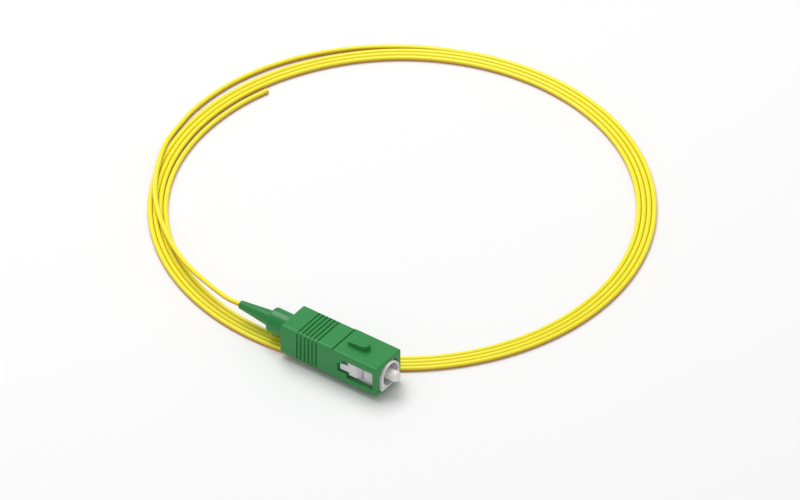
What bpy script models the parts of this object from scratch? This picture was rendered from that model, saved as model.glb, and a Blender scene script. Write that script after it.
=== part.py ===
"""Fibre optic pigtail: a simplex push-pull connector on a coiled buffered cord.

Every length is in metres. The connector is built along +X in its own frame, whose
origin is on the ferrule axis at the front face of the grip, with the key side up.
The coil is built round its own centre on the floor. Two empties place them.
"""

import math

import bmesh
import bpy
from mathutils import Matrix, Vector

MM = 0.001

# Cord
CORD_DIAMETER = 1.1 * MM
CORD_SIDES = 2  # bevel resolution of a cord tube
CORD_CLEARANCE = 0.2 * MM  # cord to the bores that it runs in
TURNS_ACROSS = 4  # turns that lie side by side in the coil
TURN_GAP = 0.01 * MM  # room between neighbouring turns
TOUCH_GAP = 0.3 * MM  # gap between solids that rest on or meet each other

# Coil, round its own centre
COIL_OUTER_RADIUS = 54.34 * MM
COIL_SETBACK = 33.45 * MM  # coil centre behind the grip's front face
CONNECTOR_INSET = 3.58 * MM  # ferrule axis inside the coil's outer edge
COIL_STEPS = 72
LOBE_STEPS = 4  # facets on the upper side of each turn
LOBE_SPAN = (160.0, 20.0)  # the part of a turn's section that shows, in degrees
COIL_EDGE = 0.17 * MM  # chamfer of the ring's lower edges

# Grip sleeve. Places along the connector are setbacks from the grip's front face.
GRIP_LENGTH = 25.4 * MM
GRIP_WIDTH = 8.99 * MM
GRIP_HEIGHT = 7.39 * MM
GRIP_FRONT_EDGE = 0.5 * MM  # rounding of the long edges ahead of the line groove
GRIP_REAR_EDGE = 0.85 * MM  # and behind it
GRIP_EDGE_BLEND = 0.3 * MM
EDGE_STEPS = 4
SLEEVE_CLEARANCE = 0.3 * MM  # frame to sleeve
BOOT_CLEARANCE = 0.35 * MM  # boot collar to sleeve
REAR_BORE_EDGE = 2.4 * MM
FRONT_BORE_TOP_EDGE = 2.6 * MM
FRONT_BORE_LOW_EDGE = 0.4 * MM
GROOVE_COUNT = 6
GROOVE_PITCH = 1.01 * MM
GROOVE_WIDTH = 0.36 * MM
GROOVE_DEPTH = 0.25 * MM
GROOVE_MARGIN = 4.3 * MM  # grip's rear face to the first groove
TOP_GROOVE_SPAN = 7.6 * MM
SIDE_GROOVE_DROP = 0.6 * MM  # top of the grip to the top of a side groove
LINE_GROOVE_SETBACK = 11.9 * MM  # single groove across the top, ahead of the ribs
LINE_GROOVE_WIDTH = 0.3 * MM

# Key on top of the grip
KEY_SETBACK = 5.1 * MM
KEY_LENGTH = 4.9 * MM
KEY_WIDTH = 2.3 * MM
KEY_REAR_HEIGHT = 1.0 * MM
KEY_FRONT_HEIGHT = 1.5 * MM
KEY_ARC_STEPS = 8

# Side windows of the grip
WINDOW_SETBACK = 1.1 * MM
WINDOW_LENGTH = 9.2 * MM
WINDOW_DEEP_LENGTH = 6.85 * MM
WINDOW_TOP = 2.05 * MM
WINDOW_SHALLOW_BOTTOM = -1.3 * MM
WINDOW_DEEP_BOTTOM = -2.35 * MM
WINDOW_TAB_LENGTH = 1.3 * MM  # the tab in the window's rear top corner
WINDOW_TAB_BOTTOM = 0.95 * MM

# Plug frame
FRAME_LENGTH = 17.0 * MM
FRAME_PROUD = 0.6 * MM  # how far the frame stands out of the grip
MOUTH_RADIUS = 2.6 * MM
MOUTH_DEPTH = 8.0 * MM
FRAME_SIDE_WALL = 0.57 * MM
FRAME_TOP_WALL = 0.35 * MM
FRAME_LOW_WALL = 0.3 * MM
FRAME_ARCH_STEPS = 14
SHOULDER_THICKNESS = 0.9 * MM
BOSS_LENGTH = 5.2 * MM
BOSS_HEIGHT = 0.75 * MM  # how far the latch boss stands off the frame's side
BOSS_RAMP = 0.9 * MM
BOSS_BOTTOM = -1.65 * MM  # lower end of its front part
BOSS_ROOT = 0.14 * MM  # how deep the boss is rooted in the frame's side
BOSS_STEP = 0.08 * MM  # its lower part ends this much below its top
LATCH_SLOT_WIDTH = 0.55 * MM
LATCH_SLOT_DEPTH = 0.3 * MM
NOTCH_LENGTH = 2.1 * MM  # from the boss's rear
NOTCH_HEIGHT = 1.1 * MM
NOTCH_DEPTH = 1.1 * MM

# Ferrule, its collar and spring
FERRULE_RADIUS = 1.25 * MM
FERRULE_PROUD = 2.6 * MM  # tip ahead of the grip's front face
FERRULE_TIP_RADIUS = 1.0 * MM
FERRULE_CHAMFER = 0.45 * MM
FERRULE_CLEARANCE = 0.35 * MM
APC_ANGLE = math.radians(8.0)
COLLAR_RADIUS = 2.1 * MM
COLLAR_LENGTH = 2.0 * MM
COLLAR_CLEARANCE = 0.4 * MM  # collar to the frame's spring chamber
TUBE_RADIUS = 1.2 * MM  # the collar's tail tube
TUBE_LENGTH = 4.2 * MM
TUBE_CLEARANCE = 0.4 * MM
FERRULE_SEAT = 1.2 * MM  # how deep the ferrule sits in its collar
SPRING_WIRE = 0.4 * MM
SPRING_TURNS = 4
SPRING_POINTS_PER_TURN = 12

# Stop ring behind the frame
STOP_FLANGE_LENGTH = 1.4 * MM
STOP_SPIGOT_LENGTH = 1.2 * MM  # front spigot inside the frame's chamber
STUB_RADIUS = 1.9 * MM
STUB_LENGTH = 10.5 * MM

# Boot
BOOT_COLLAR_RADIUS = 2.9 * MM
BOOT_COLLAR_LENGTH = 12.05 * MM
BOOT_CONE_RADIUS = 1.85 * MM
BOOT_CONE_LENGTH = 8.6 * MM
BOOT_TIP_WALL = 0.2 * MM
BOOT_FILLET = 0.7 * MM
BOOT_FILLET_SPAN = (-5.0, -65.0)  # degrees, from the cone to the collar
BOOT_EDGE = 0.35 * MM
BOOT_TIP_SPAN = (90.0, 165.0)
BOOT_EDGE_STEPS = 3
ROUND_STEPS = 40

# Sizes that follow from those above
FRAME_HALF_WIDTH = MOUTH_RADIUS + FRAME_SIDE_WALL
FRAME_TOP = MOUTH_RADIUS + FRAME_TOP_WALL
FRAME_BOTTOM = -MOUTH_RADIUS - FRAME_LOW_WALL
FRAME_REAR = FRAME_PROUD - FRAME_LENGTH
SHOULDER_FRONT = FRAME_PROUD - MOUTH_DEPTH
SHOULDER_REAR = SHOULDER_FRONT - SHOULDER_THICKNESS
CHAMBER_RADIUS = COLLAR_RADIUS + COLLAR_CLEARANCE
COLLAR_FRONT = SHOULDER_REAR - TOUCH_GAP
COLLAR_REAR = COLLAR_FRONT - COLLAR_LENGTH
CORD_BORE_RADIUS = CORD_DIAMETER / 2 + CORD_CLEARANCE
SPIGOT_FRONT = FRAME_REAR + STOP_SPIGOT_LENGTH
STOP_FLANGE_REAR = FRAME_REAR - TOUCH_GAP - STOP_FLANGE_LENGTH
STUB_END = STOP_FLANGE_REAR - STUB_LENGTH
BOOT_FRONT = STOP_FLANGE_REAR - TOUCH_GAP
BOOT_COLLAR_REAR = BOOT_FRONT - BOOT_COLLAR_LENGTH
BOOT_TIP = BOOT_COLLAR_REAR - BOOT_CONE_LENGTH
WINDOW_REAR = -WINDOW_SETBACK - WINDOW_LENGTH
WINDOW_STEP = -WINDOW_SETBACK - WINDOW_DEEP_LENGTH
AXIS_HEIGHT = CORD_DIAMETER + TOUCH_GAP + GRIP_HEIGHT / 2
COIL_X = -COIL_SETBACK
COIL_Y = COIL_OUTER_RADIUS - CONNECTOR_INSET

# The cord between the boot and the coil, and past the coil, round the coil's centre:
# sweep in degrees from -Y towards -X, then, in cord diameters, how far the cord's
# centre lies inside the coil's outer edge and how high it is.
LEAD_ROUTE = [
    (9.6, 2.64, 4.54),
    (12.4, 2.71, 4.42),
    (18.3, 2.95, 4.0),
    (25.3, 2.99, 3.41),
    (31.8, 2.95, 2.82),
    (37.9, 2.85, 2.32),
    (43.0, 2.67, 1.96),
    (48.7, 2.26, 1.79),
    (54.2, 1.72, 1.78),
    (59.5, 1.26, 1.78),
    (64.5, 0.9, 1.78),
    (69.0, 0.45, 1.75),
    (73.0, -0.24, 1.59),
    (77.0, -0.83, 1.09),
    (81.0, -0.91, 0.66),
    (86.0, -0.95, 0.52),
    (94.4, -1.01, 0.503),
    (103.7, -1.03, 0.501),
    (111.2, -0.98, 0.501),
    (118.1, -0.89, 0.501),
    (124.5, -0.81, 0.501),
]
TAIL_ROUTE = [
    (80.0, 4.81, 0.501),
    (88.0, 4.88, 0.501),
    (96.0, 4.97, 0.501),
    (102.0, 5.05, 0.501),
    (108.0, 5.13, 0.501),
]
LEAD_POINTS = 56
TAIL_POINTS = 12
SPLINE_STEPS = 16  # steps between two points of a route, before they are evened out

# Colours are linear RGB
GRIP_GREEN = (0.022, 0.165, 0.052, 1.0)
BOOT_GREEN = (0.015, 0.14, 0.045, 1.0)
FRAME_WHITE = (0.66, 0.66, 0.68, 1.0)
CERAMIC_WHITE = (0.78, 0.76, 0.72, 1.0)
NICKEL = (0.62, 0.6, 0.56, 1.0)
STEEL = (0.55, 0.55, 0.56, 1.0)
CORD_YELLOW = (0.85, 0.78, 0.05, 1.0)


def clear_scene():
    for obj in list(bpy.data.objects):
        bpy.data.objects.remove(obj, do_unlink=True)


def new_collection(name):
    collection = bpy.data.collections.new(name)
    bpy.context.scene.collection.children.link(collection)
    return collection


def material(name, colour, roughness, metallic=0.0):
    made = bpy.data.materials.new(name)
    made.use_nodes = True
    shader = made.node_tree.nodes["Principled BSDF"]
    shader.inputs["Base Color"].default_value = colour
    shader.inputs["Roughness"].default_value = roughness
    shader.inputs["Metallic"].default_value = metallic
    return made


clear_scene()
PARTS = new_collection("fibre_pigtail")
CUTTERS = new_collection("cutters")
CUTTERS.hide_render = True


def add_empty(name, location, parent=None):
    empty = bpy.data.objects.new(name, None)
    empty.location = location
    empty.parent = parent
    PARTS.objects.link(empty)
    return empty


def add_object(name, data, parent=None, finish=None):
    obj = bpy.data.objects.new(name, data)
    PARTS.objects.link(obj)
    obj.parent = parent
    if finish:
        data.materials.append(finish)
    return obj


def as_cutter(obj):
    for collection in obj.users_collection:
        collection.objects.unlink(obj)
    CUTTERS.objects.link(obj)
    obj.hide_render = True
    obj.display_type = "WIRE"
    return obj


def mesh_from_bmesh(name, build):
    bm = bmesh.new()
    build(bm)
    bmesh.ops.recalc_face_normals(bm, faces=bm.faces)
    mesh = bpy.data.meshes.new(name)
    bm.to_mesh(mesh)
    bm.free()
    return mesh


def box_mesh(name, low, high):
    """A box between two corners."""

    def build(bm):
        bmesh.ops.create_cube(bm, size=1.0)
        middle = (Vector(low) + Vector(high)) / 2
        sides = Vector(high) - Vector(low)
        bmesh.ops.scale(bm, vec=sides, verts=bm.verts)
        bmesh.ops.translate(bm, vec=middle, verts=bm.verts)

    return mesh_from_bmesh(name, build)


def rod_mesh(name, x_start, x_end, radius, steps=ROUND_STEPS):
    """A cylinder along X."""

    def build(bm):
        bmesh.ops.create_cone(
            bm, cap_ends=True, segments=steps, radius1=radius, radius2=radius, depth=x_end - x_start
        )
        bmesh.ops.rotate(bm, cent=(0, 0, 0), matrix=Matrix.Rotation(math.pi / 2, 3, "Y"), verts=bm.verts)
        bmesh.ops.translate(bm, vec=((x_start + x_end) / 2, 0, 0), verts=bm.verts)

    return mesh_from_bmesh(name, build)


def outline_solid(name, outline, start, end, along):
    """A flat outline as a filled 2D curve, extruded from start to end and made a mesh.

    Along X the outline's points are (y, z), and along Z they are (x, y).
    """
    curve = bpy.data.curves.new(name, "CURVE")
    curve.dimensions = "2D"
    curve.fill_mode = "BOTH"
    curve.extrude = (end - start) / 2
    spline = curve.splines.new("POLY")
    spline.points.add(len(outline) - 1)
    for point, (a, b) in zip(spline.points, outline):
        point.co = (a, b, 0.0, 1.0)
    spline.use_cyclic_u = True
    middle = (start + end) / 2
    if along == "X":
        turn = Matrix(((0, 0, 1, middle), (1, 0, 0, 0), (0, 1, 0, 0), (0, 0, 0, 1)))
    else:
        turn = Matrix.Translation((0, 0, middle))
    return curve_to_mesh(name, curve, turn)


def curve_to_mesh(name, curve, turn=Matrix.Identity(4)):
    """The mesh of a curve's evaluated shape, with its caps welded on."""
    guide = bpy.data.objects.new(name + "_guide", curve)
    CUTTERS.objects.link(guide)
    bpy.context.view_layer.update()
    evaluated = guide.evaluated_get(bpy.context.evaluated_depsgraph_get())
    mesh = bpy.data.meshes.new_from_object(evaluated)
    mesh.transform(turn @ guide.matrix_world)
    bpy.data.objects.remove(guide, do_unlink=True)
    bpy.data.curves.remove(curve)
    bm = bmesh.new()
    bm.from_mesh(mesh)
    bmesh.ops.remove_doubles(bm, verts=bm.verts, dist=0.001 * MM)
    bmesh.ops.recalc_face_normals(bm, faces=bm.faces)
    bm.to_mesh(mesh)
    bm.free()
    return mesh


def turned(name, profile, steps, parent, finish, along_x=True):
    """A closed profile of (radius, place along the axis), turned by a Screw modifier."""
    mesh = bpy.data.meshes.new(name)
    bm = bmesh.new()
    points = [bm.verts.new((radius, 0.0, place)) for radius, place in profile]
    for first, second in zip(points, points[1:] + points[:1]):
        bm.edges.new((first, second))
    bm.to_mesh(mesh)
    bm.free()
    obj = add_object(name, mesh, parent, finish)
    screw = obj.modifiers.new("turn", "SCREW")
    screw.angle = math.tau
    screw.steps = steps
    screw.render_steps = steps
    screw.use_merge_vertices = True
    screw.merge_threshold = 0.001 * MM
    if along_x:
        obj.rotation_euler = (0.0, math.pi / 2, 0.0)
    return obj


def cut(obj, cutter, operation="DIFFERENCE"):
    modifier = obj.modifiers.new(cutter.name, "BOOLEAN")
    modifier.operation = operation
    modifier.solver = "EXACT"
    modifier.object = cutter


def cut_mesh(obj, mesh, parent, operation="DIFFERENCE"):
    cutter = as_cutter(add_object(mesh.name, mesh, parent))
    cut(obj, cutter, operation)
    return cutter


def arc(centre, radius, start_deg, end_deg, steps):
    """Points along an arc, both ends included."""
    points = []
    for i in range(steps + 1):
        angle = math.radians(start_deg + (end_deg - start_deg) * i / steps)
        points.append((centre[0] + radius * math.cos(angle), centre[1] + radius * math.sin(angle)))
    return points


def rounded_rectangle(half_width, bottom, top, radius, low_radius=None, steps=EDGE_STEPS):
    """A rectangle with rounded corners, whose lower two can have their own radius."""
    low = low_radius or radius
    points = arc((half_width - radius, top - radius), radius, 0, 90, steps)
    points += arc((radius - half_width, top - radius), radius, 90, 180, steps)
    points += arc((low - half_width, bottom + low), low, 180, 270, steps)
    points += arc((half_width - low, bottom + low), low, 270, 360, steps)
    return points


def shade(obj, degrees=35.0):
    obj.data.shade_smooth()
    obj.data.set_sharp_from_angle(angle=math.radians(degrees))


def loft_mesh(name, sections):
    """A closed loft through unlike sections of as many points, each (x, outline in y and z)."""

    def build(bm):
        rings = [[bm.verts.new((x, y, z)) for y, z in outline] for x, outline in sections]
        for ring, following in zip(rings, rings[1:]):
            for i, vertex in enumerate(ring):
                bm.faces.new((ring[i - 1], vertex, following[i], following[i - 1]))
        bm.faces.new(rings[0])
        bm.faces.new(rings[-1])

    return mesh_from_bmesh(name, build)


def grip_section(edge):
    return rounded_rectangle(GRIP_WIDTH / 2, -GRIP_HEIGHT / 2, GRIP_HEIGHT / 2, edge)


def build_grip(parent, finish):
    """The sleeve that is pushed and pulled, with its key, ribs and windows."""
    line = -LINE_GROOVE_SETBACK
    sections = [
        (-GRIP_LENGTH, grip_section(GRIP_REAR_EDGE)),
        (line - GRIP_EDGE_BLEND, grip_section(GRIP_REAR_EDGE)),
        (line, grip_section(GRIP_FRONT_EDGE)),
        (0.0, grip_section(GRIP_FRONT_EDGE)),
    ]
    grip = add_object("outer_housing", loft_mesh("outer_housing", sections), parent, finish)
    cut_mesh(grip, key_mesh(), parent, "UNION")
    bore_half = FRAME_HALF_WIDTH + SLEEVE_CLEARANCE
    bore_low, bore_high = FRAME_BOTTOM - SLEEVE_CLEARANCE, FRAME_TOP + SLEEVE_CLEARANCE
    front_bore = rounded_rectangle(bore_half, bore_low, bore_high, FRONT_BORE_TOP_EDGE, FRONT_BORE_LOW_EDGE)
    past = GRIP_EDGE_BLEND
    ends = (-GRIP_LENGTH - past, past)
    cut_mesh(grip, outline_solid("front_bore", front_bore, *ends, "X"), parent)
    reach = BOOT_COLLAR_RADIUS + BOOT_CLEARANCE
    rear_bore = rounded_rectangle(max(reach, bore_half), -reach, reach, REAR_BORE_EDGE)
    rear_end = FRAME_REAR - TOUCH_GAP
    cut_mesh(grip, outline_solid("rear_bore", rear_bore, ends[0], rear_end, "X"), parent)
    for side in (-1, 1):
        cut_mesh(grip, window_mesh(side), parent)
    for i in range(GROOVE_COUNT):
        cut_groove(grip, parent, GROOVE_MARGIN - GRIP_LENGTH + i * GROOVE_PITCH, i)
    half_height = GRIP_HEIGHT / 2
    low = (line, -TOP_GROOVE_SPAN, half_height - GROOVE_DEPTH)
    high = (line + LINE_GROOVE_WIDTH, TOP_GROOVE_SPAN, half_height + past)
    cut_mesh(grip, box_mesh("line_groove", low, high), parent)
    shade(grip)
    return grip


def key_mesh():
    """A bar with a round nose, higher at its front than at its rear."""
    radius = KEY_WIDTH / 2
    base = GRIP_HEIGHT / 2
    rear, tip = -KEY_SETBACK - KEY_LENGTH, -KEY_SETBACK
    outline = [(rear, -radius)] + arc((tip - radius, 0.0), radius, -90, 90, KEY_ARC_STEPS) + [(rear, radius)]
    top = base + KEY_FRONT_HEIGHT
    mesh = outline_solid("key", outline, base - GROOVE_DEPTH, top, "Z")
    slope = (KEY_FRONT_HEIGHT - KEY_REAR_HEIGHT) / KEY_LENGTH
    for vertex in mesh.vertices:
        if vertex.co.z > base:
            vertex.co.z = top - slope * (tip - vertex.co.x)
    return mesh


def window_mesh(side):
    """The stepped hole in one side of the grip, shallow behind a tab and deep in front."""
    front = -WINDOW_SETBACK
    tab = WINDOW_REAR + WINDOW_TAB_LENGTH
    outline = [
        (WINDOW_REAR, WINDOW_SHALLOW_BOTTOM),
        (WINDOW_STEP, WINDOW_SHALLOW_BOTTOM),
        (WINDOW_STEP, WINDOW_DEEP_BOTTOM),
        (front, WINDOW_DEEP_BOTTOM),
        (front, WINDOW_TOP),
        (tab, WINDOW_TOP),
        (tab, WINDOW_TAB_BOTTOM),
        (WINDOW_REAR, WINDOW_TAB_BOTTOM),
    ]
    inside = FRAME_HALF_WIDTH * side
    outside = GRIP_WIDTH * side
    name = f"window_{'near' if side < 0 else 'far'}"
    mesh = outline_solid(name, outline, min(inside, outside), max(inside, outside), "Z")
    # The outline was drawn flat, and stands up with its thickness along Y.
    mesh.transform(Matrix(((1, 0, 0, 0), (0, 0, 1, 0), (0, 1, 0, 0), (0, 0, 0, 1))))
    mesh.flip_normals()
    return mesh


def cut_groove(grip, parent, start, index):
    """One rib groove: a slot across the top and one down each side."""
    half_width, half_height = GRIP_WIDTH / 2, GRIP_HEIGHT / 2
    past = GROOVE_WIDTH
    end = start + GROOVE_WIDTH
    low = (start, -TOP_GROOVE_SPAN / 2, half_height - GROOVE_DEPTH)
    high = (end, TOP_GROOVE_SPAN / 2, half_height + past)
    cut_mesh(grip, box_mesh(f"top_groove_{index}", low, high), parent)
    for side in (-1, 1):
        inner = side * (half_width - GROOVE_DEPTH)
        outer = side * (half_width + past)
        low = (start, min(inner, outer), -half_height - past)
        high = (end, max(inner, outer), half_height - SIDE_GROOVE_DROP)
        name = f"side_groove_{index}_{'near' if side < 0 else 'far'}"
        cut_mesh(grip, box_mesh(name, low, high), parent)


def build_frame(parent, finish):
    """The plug frame: a D-section tube with a latch boss on each side."""
    body = outline_solid("inner_frame", frame_section(), FRAME_REAR, FRAME_PROUD, "X")
    frame = add_object("inner_frame", body, parent, finish)
    for side in (-1, 1):
        add_boss(frame, parent, side)
    past = SHOULDER_THICKNESS
    shoulder_bore = FERRULE_RADIUS + FERRULE_CLEARANCE
    cut_mesh(frame, rod_mesh("mouth", SHOULDER_FRONT, FRAME_PROUD + past, MOUTH_RADIUS), parent)
    cut_mesh(frame, rod_mesh("shoulder_bore", FRAME_REAR - past, FRAME_PROUD, shoulder_bore), parent)
    cut_mesh(frame, rod_mesh("chamber", FRAME_REAR - past, SHOULDER_REAR, CHAMBER_RADIUS), parent)
    shade(frame)
    return frame


def frame_section():
    """Flat at the bottom, arched at the top."""
    points = [(FRAME_HALF_WIDTH, FRAME_BOTTOM)]
    for i in range(FRAME_ARCH_STEPS + 1):
        angle = math.pi * i / FRAME_ARCH_STEPS
        points.append((FRAME_HALF_WIDTH * math.cos(angle), FRAME_TOP * math.sin(angle)))
    points.append((-FRAME_HALF_WIDTH, FRAME_BOTTOM))
    return points


def add_boss(frame, parent, side):
    """A latch boss in the grip's window, with a ramped front, a slot ahead of it and a notch."""
    inside = FRAME_HALF_WIDTH - BOSS_ROOT
    outside = FRAME_HALF_WIDTH + BOSS_HEIGHT
    rear = WINDOW_REAR + TOUCH_GAP
    front = rear + BOSS_LENGTH
    low_rear = WINDOW_STEP + TOUCH_GAP
    top = WINDOW_TOP - TOUCH_GAP
    bottom = WINDOW_SHALLOW_BOTTOM + TOUCH_GAP
    tag = "near" if side < 0 else "far"
    nose = [(front, inside), (front, FRAME_HALF_WIDTH), (front - BOSS_RAMP, outside)]
    plan = [(rear, side * inside)] + [(x, side * y) for x, y in nose] + [(rear, side * outside)]
    cut_mesh(frame, outline_solid(f"boss_{tag}", plan, bottom, top, "Z"), parent, "UNION")
    plan = [(low_rear, side * inside)] + [(x, side * y) for x, y in nose] + [(low_rear, side * outside)]
    lower = outline_solid(f"boss_low_{tag}", plan, BOSS_BOTTOM, top - BOSS_STEP, "Z")
    cut_mesh(frame, lower, parent, "UNION")
    past = outside + TOUCH_GAP
    slot_ends = sorted((side * (FRAME_HALF_WIDTH - LATCH_SLOT_DEPTH), side * past))
    slot_low = (front, slot_ends[0], BOSS_BOTTOM)
    slot_high = (front + LATCH_SLOT_WIDTH, slot_ends[1], top)
    cut_mesh(frame, box_mesh(f"latch_slot_{tag}", slot_low, slot_high), parent)
    notch_ends = sorted((side * (outside - NOTCH_DEPTH), side * past))
    notch_low = (rear - TOUCH_GAP, notch_ends[0], top - NOTCH_HEIGHT)
    notch_high = (rear + NOTCH_LENGTH, notch_ends[1], top + TOUCH_GAP)
    cut_mesh(frame, box_mesh(f"boss_notch_{tag}", notch_low, notch_high), parent)


def build_ferrule(parent, finish):
    """The ferrule, with a chamfered tip cut to the polishing angle about the key's axis."""
    rear = COLLAR_FRONT - FERRULE_SEAT
    lean = FERRULE_TIP_RADIUS * math.tan(APC_ANGLE)
    slope = (FERRULE_RADIUS - FERRULE_TIP_RADIUS) / FERRULE_CHAMFER
    nose = FERRULE_PROUD + lean
    profile = [
        (0.0, nose),
        (FERRULE_TIP_RADIUS - 2 * slope * lean, nose),
        (FERRULE_RADIUS, FERRULE_PROUD - lean - FERRULE_CHAMFER),
        (FERRULE_RADIUS, rear),
        (0.0, rear),
    ]
    ferrule = turned("ferrule", profile, ROUND_STEPS, parent, finish)
    wide = 2 * FERRULE_RADIUS
    cutter = cut_mesh(ferrule, box_mesh("apc_face", (0, -wide, -wide), (wide, wide, wide)), parent)
    cutter.location = (FERRULE_PROUD - lean, 0.0, 0.0)
    cutter.rotation_euler = (0.0, 0.0, -APC_ANGLE)
    shade(ferrule)
    return ferrule


def build_collar(parent, finish):
    """The metal collar behind the ferrule: a flange in front of a hollow tail tube."""
    seat = COLLAR_FRONT - FERRULE_SEAT - TOUCH_GAP
    tube_end = COLLAR_REAR - TUBE_LENGTH
    hole = FERRULE_RADIUS + TOUCH_GAP
    profile = [
        (hole, COLLAR_FRONT),
        (COLLAR_RADIUS, COLLAR_FRONT),
        (COLLAR_RADIUS, COLLAR_REAR),
        (TUBE_RADIUS, COLLAR_REAR),
        (TUBE_RADIUS, tube_end),
        (CORD_BORE_RADIUS, tube_end),
        (CORD_BORE_RADIUS, seat),
        (hole, seat),
    ]
    collar = turned("ferrule_flange", profile, ROUND_STEPS, parent, finish)
    shade(collar)
    return collar


def build_spring(parent, finish):
    """The spring between the collar's flange and the stop ring's spigot."""
    low = SPIGOT_FRONT + TOUCH_GAP + SPRING_WIRE / 2
    high = COLLAR_REAR - TOUCH_GAP - SPRING_WIRE / 2
    radius = (CHAMBER_RADIUS + TUBE_RADIUS) / 2
    curve = bpy.data.curves.new("spring", "CURVE")
    curve.dimensions = "3D"
    curve.bevel_depth = SPRING_WIRE / 2
    curve.bevel_resolution = 1
    curve.use_fill_caps = True
    steps = SPRING_TURNS * SPRING_POINTS_PER_TURN
    spline = curve.splines.new("POLY")
    spline.points.add(steps)
    for i, point in enumerate(spline.points):
        angle = math.tau * i / SPRING_POINTS_PER_TURN
        place = low + (high - low) * i / steps
        point.co = (place, radius * math.cos(angle), radius * math.sin(angle), 1.0)
    return add_object("spring", curve, parent, finish)


def build_stop_ring(parent, finish):
    """The stop ring: spigot in the frame, flange behind it and a stub for the boot."""
    bore = TUBE_RADIUS + TUBE_CLEARANCE
    spigot = CHAMBER_RADIUS - TOUCH_GAP
    flange_front = FRAME_REAR - TOUCH_GAP
    profile = [
        (bore, SPIGOT_FRONT),
        (spigot, SPIGOT_FRONT),
        (spigot, flange_front),
        (-FRAME_BOTTOM, flange_front),
        (-FRAME_BOTTOM, STOP_FLANGE_REAR),
        (STUB_RADIUS, STOP_FLANGE_REAR),
        (STUB_RADIUS, STUB_END),
        (CORD_BORE_RADIUS, STUB_END),
        (CORD_BORE_RADIUS, STOP_FLANGE_REAR),
        (bore, STOP_FLANGE_REAR),
    ]
    ring = turned("back_body", profile, ROUND_STEPS, parent, finish)
    shade(ring)
    return ring


def build_boot(parent, finish):
    """The tail boot: a round collar that the grip slides over, and a long taper."""
    stub_bore = STUB_RADIUS + TOUCH_GAP
    floor = STUB_END - TOUCH_GAP
    tip_radius = CORD_BORE_RADIUS + BOOT_TIP_WALL
    slope = (BOOT_CONE_RADIUS - tip_radius) / BOOT_CONE_LENGTH
    cone_at_fillet = BOOT_CONE_RADIUS - slope * BOOT_FILLET
    fillet_end = BOOT_COLLAR_REAR - BOOT_FILLET
    fillet = arc((fillet_end, cone_at_fillet + BOOT_FILLET), BOOT_FILLET, *BOOT_FILLET_SPAN, 2)
    edge_centre = (BOOT_COLLAR_REAR + BOOT_EDGE, BOOT_COLLAR_RADIUS - BOOT_EDGE)
    collar_rear = arc(edge_centre, BOOT_EDGE, 90, 180, BOOT_EDGE_STEPS)
    tip_centre = (BOOT_TIP + BOOT_EDGE, tip_radius - BOOT_EDGE)
    tip = arc(tip_centre, BOOT_EDGE, *BOOT_TIP_SPAN, BOOT_EDGE_STEPS)
    profile = [(stub_bore, BOOT_FRONT), (BOOT_COLLAR_RADIUS, BOOT_FRONT)]
    profile += [(radius, place) for place, radius in collar_rear + fillet + tip]
    profile += [(CORD_BORE_RADIUS, BOOT_TIP), (CORD_BORE_RADIUS, floor), (stub_bore, floor)]
    boot = turned("boot", profile, ROUND_STEPS, parent, finish)
    shade(boot)
    return boot


def plan_point(sweep, inset, height):
    """A point round the coil's centre, from degrees and cord diameters."""
    angle = math.radians(sweep)
    radius = COIL_OUTER_RADIUS - inset * CORD_DIAMETER
    return Vector((-radius * math.sin(angle), -radius * math.cos(angle), height * CORD_DIAMETER))


def smooth_points(route, count):
    """Points at even steps along a Catmull-Rom curve through the route."""
    ends = [2 * route[0] - route[1]] + route + [2 * route[-1] - route[-2]]
    fine = []
    for before, start, end, after in zip(ends, ends[1:], ends[2:], ends[3:]):
        for i in range(SPLINE_STEPS):
            t = i / SPLINE_STEPS
            a = 2 * start
            b = end - before
            c = 2 * before - 5 * start + 4 * end - after
            d = 3 * start - before - 3 * end + after
            fine.append((a + b * t + c * t * t + d * t * t * t) / 2)
    fine.append(route[-1])
    reach = [0.0]
    for first, second in zip(fine, fine[1:]):
        reach.append(reach[-1] + (second - first).length)
    points = []
    k = 0
    for i in range(count):
        goal = reach[-1] * i / (count - 1)
        while k < len(fine) - 2 and reach[k + 1] < goal:
            k += 1
        share = (goal - reach[k]) / (reach[k + 1] - reach[k])
        points.append(fine[k].lerp(fine[k + 1], share))
    return points


def lead_points():
    """From just behind the boot's tip, over the coil and round its outside."""
    centre = Vector((COIL_X, COIL_Y, 0.0))
    exit_point = Vector((BOOT_TIP - TOUCH_GAP, 0.0, AXIS_HEIGHT)) - centre
    route = [exit_point] + [plan_point(*row) for row in LEAD_ROUTE]
    return smooth_points(route, LEAD_POINTS)


def tail_points():
    return smooth_points([plan_point(*row) for row in TAIL_ROUTE], TAIL_POINTS)


def cord_tube(name, points, parent, finish):
    curve = bpy.data.curves.new(name, "CURVE")
    curve.dimensions = "3D"
    curve.bevel_depth = CORD_DIAMETER / 2
    curve.bevel_resolution = CORD_SIDES
    curve.use_fill_caps = True
    spline = curve.splines.new("POLY")
    spline.points.add(len(points) - 1)
    for spot, place in zip(spline.points, points):
        spot.co = (*place, 1.0)
    return add_object(name, curve, parent, finish)


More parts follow.
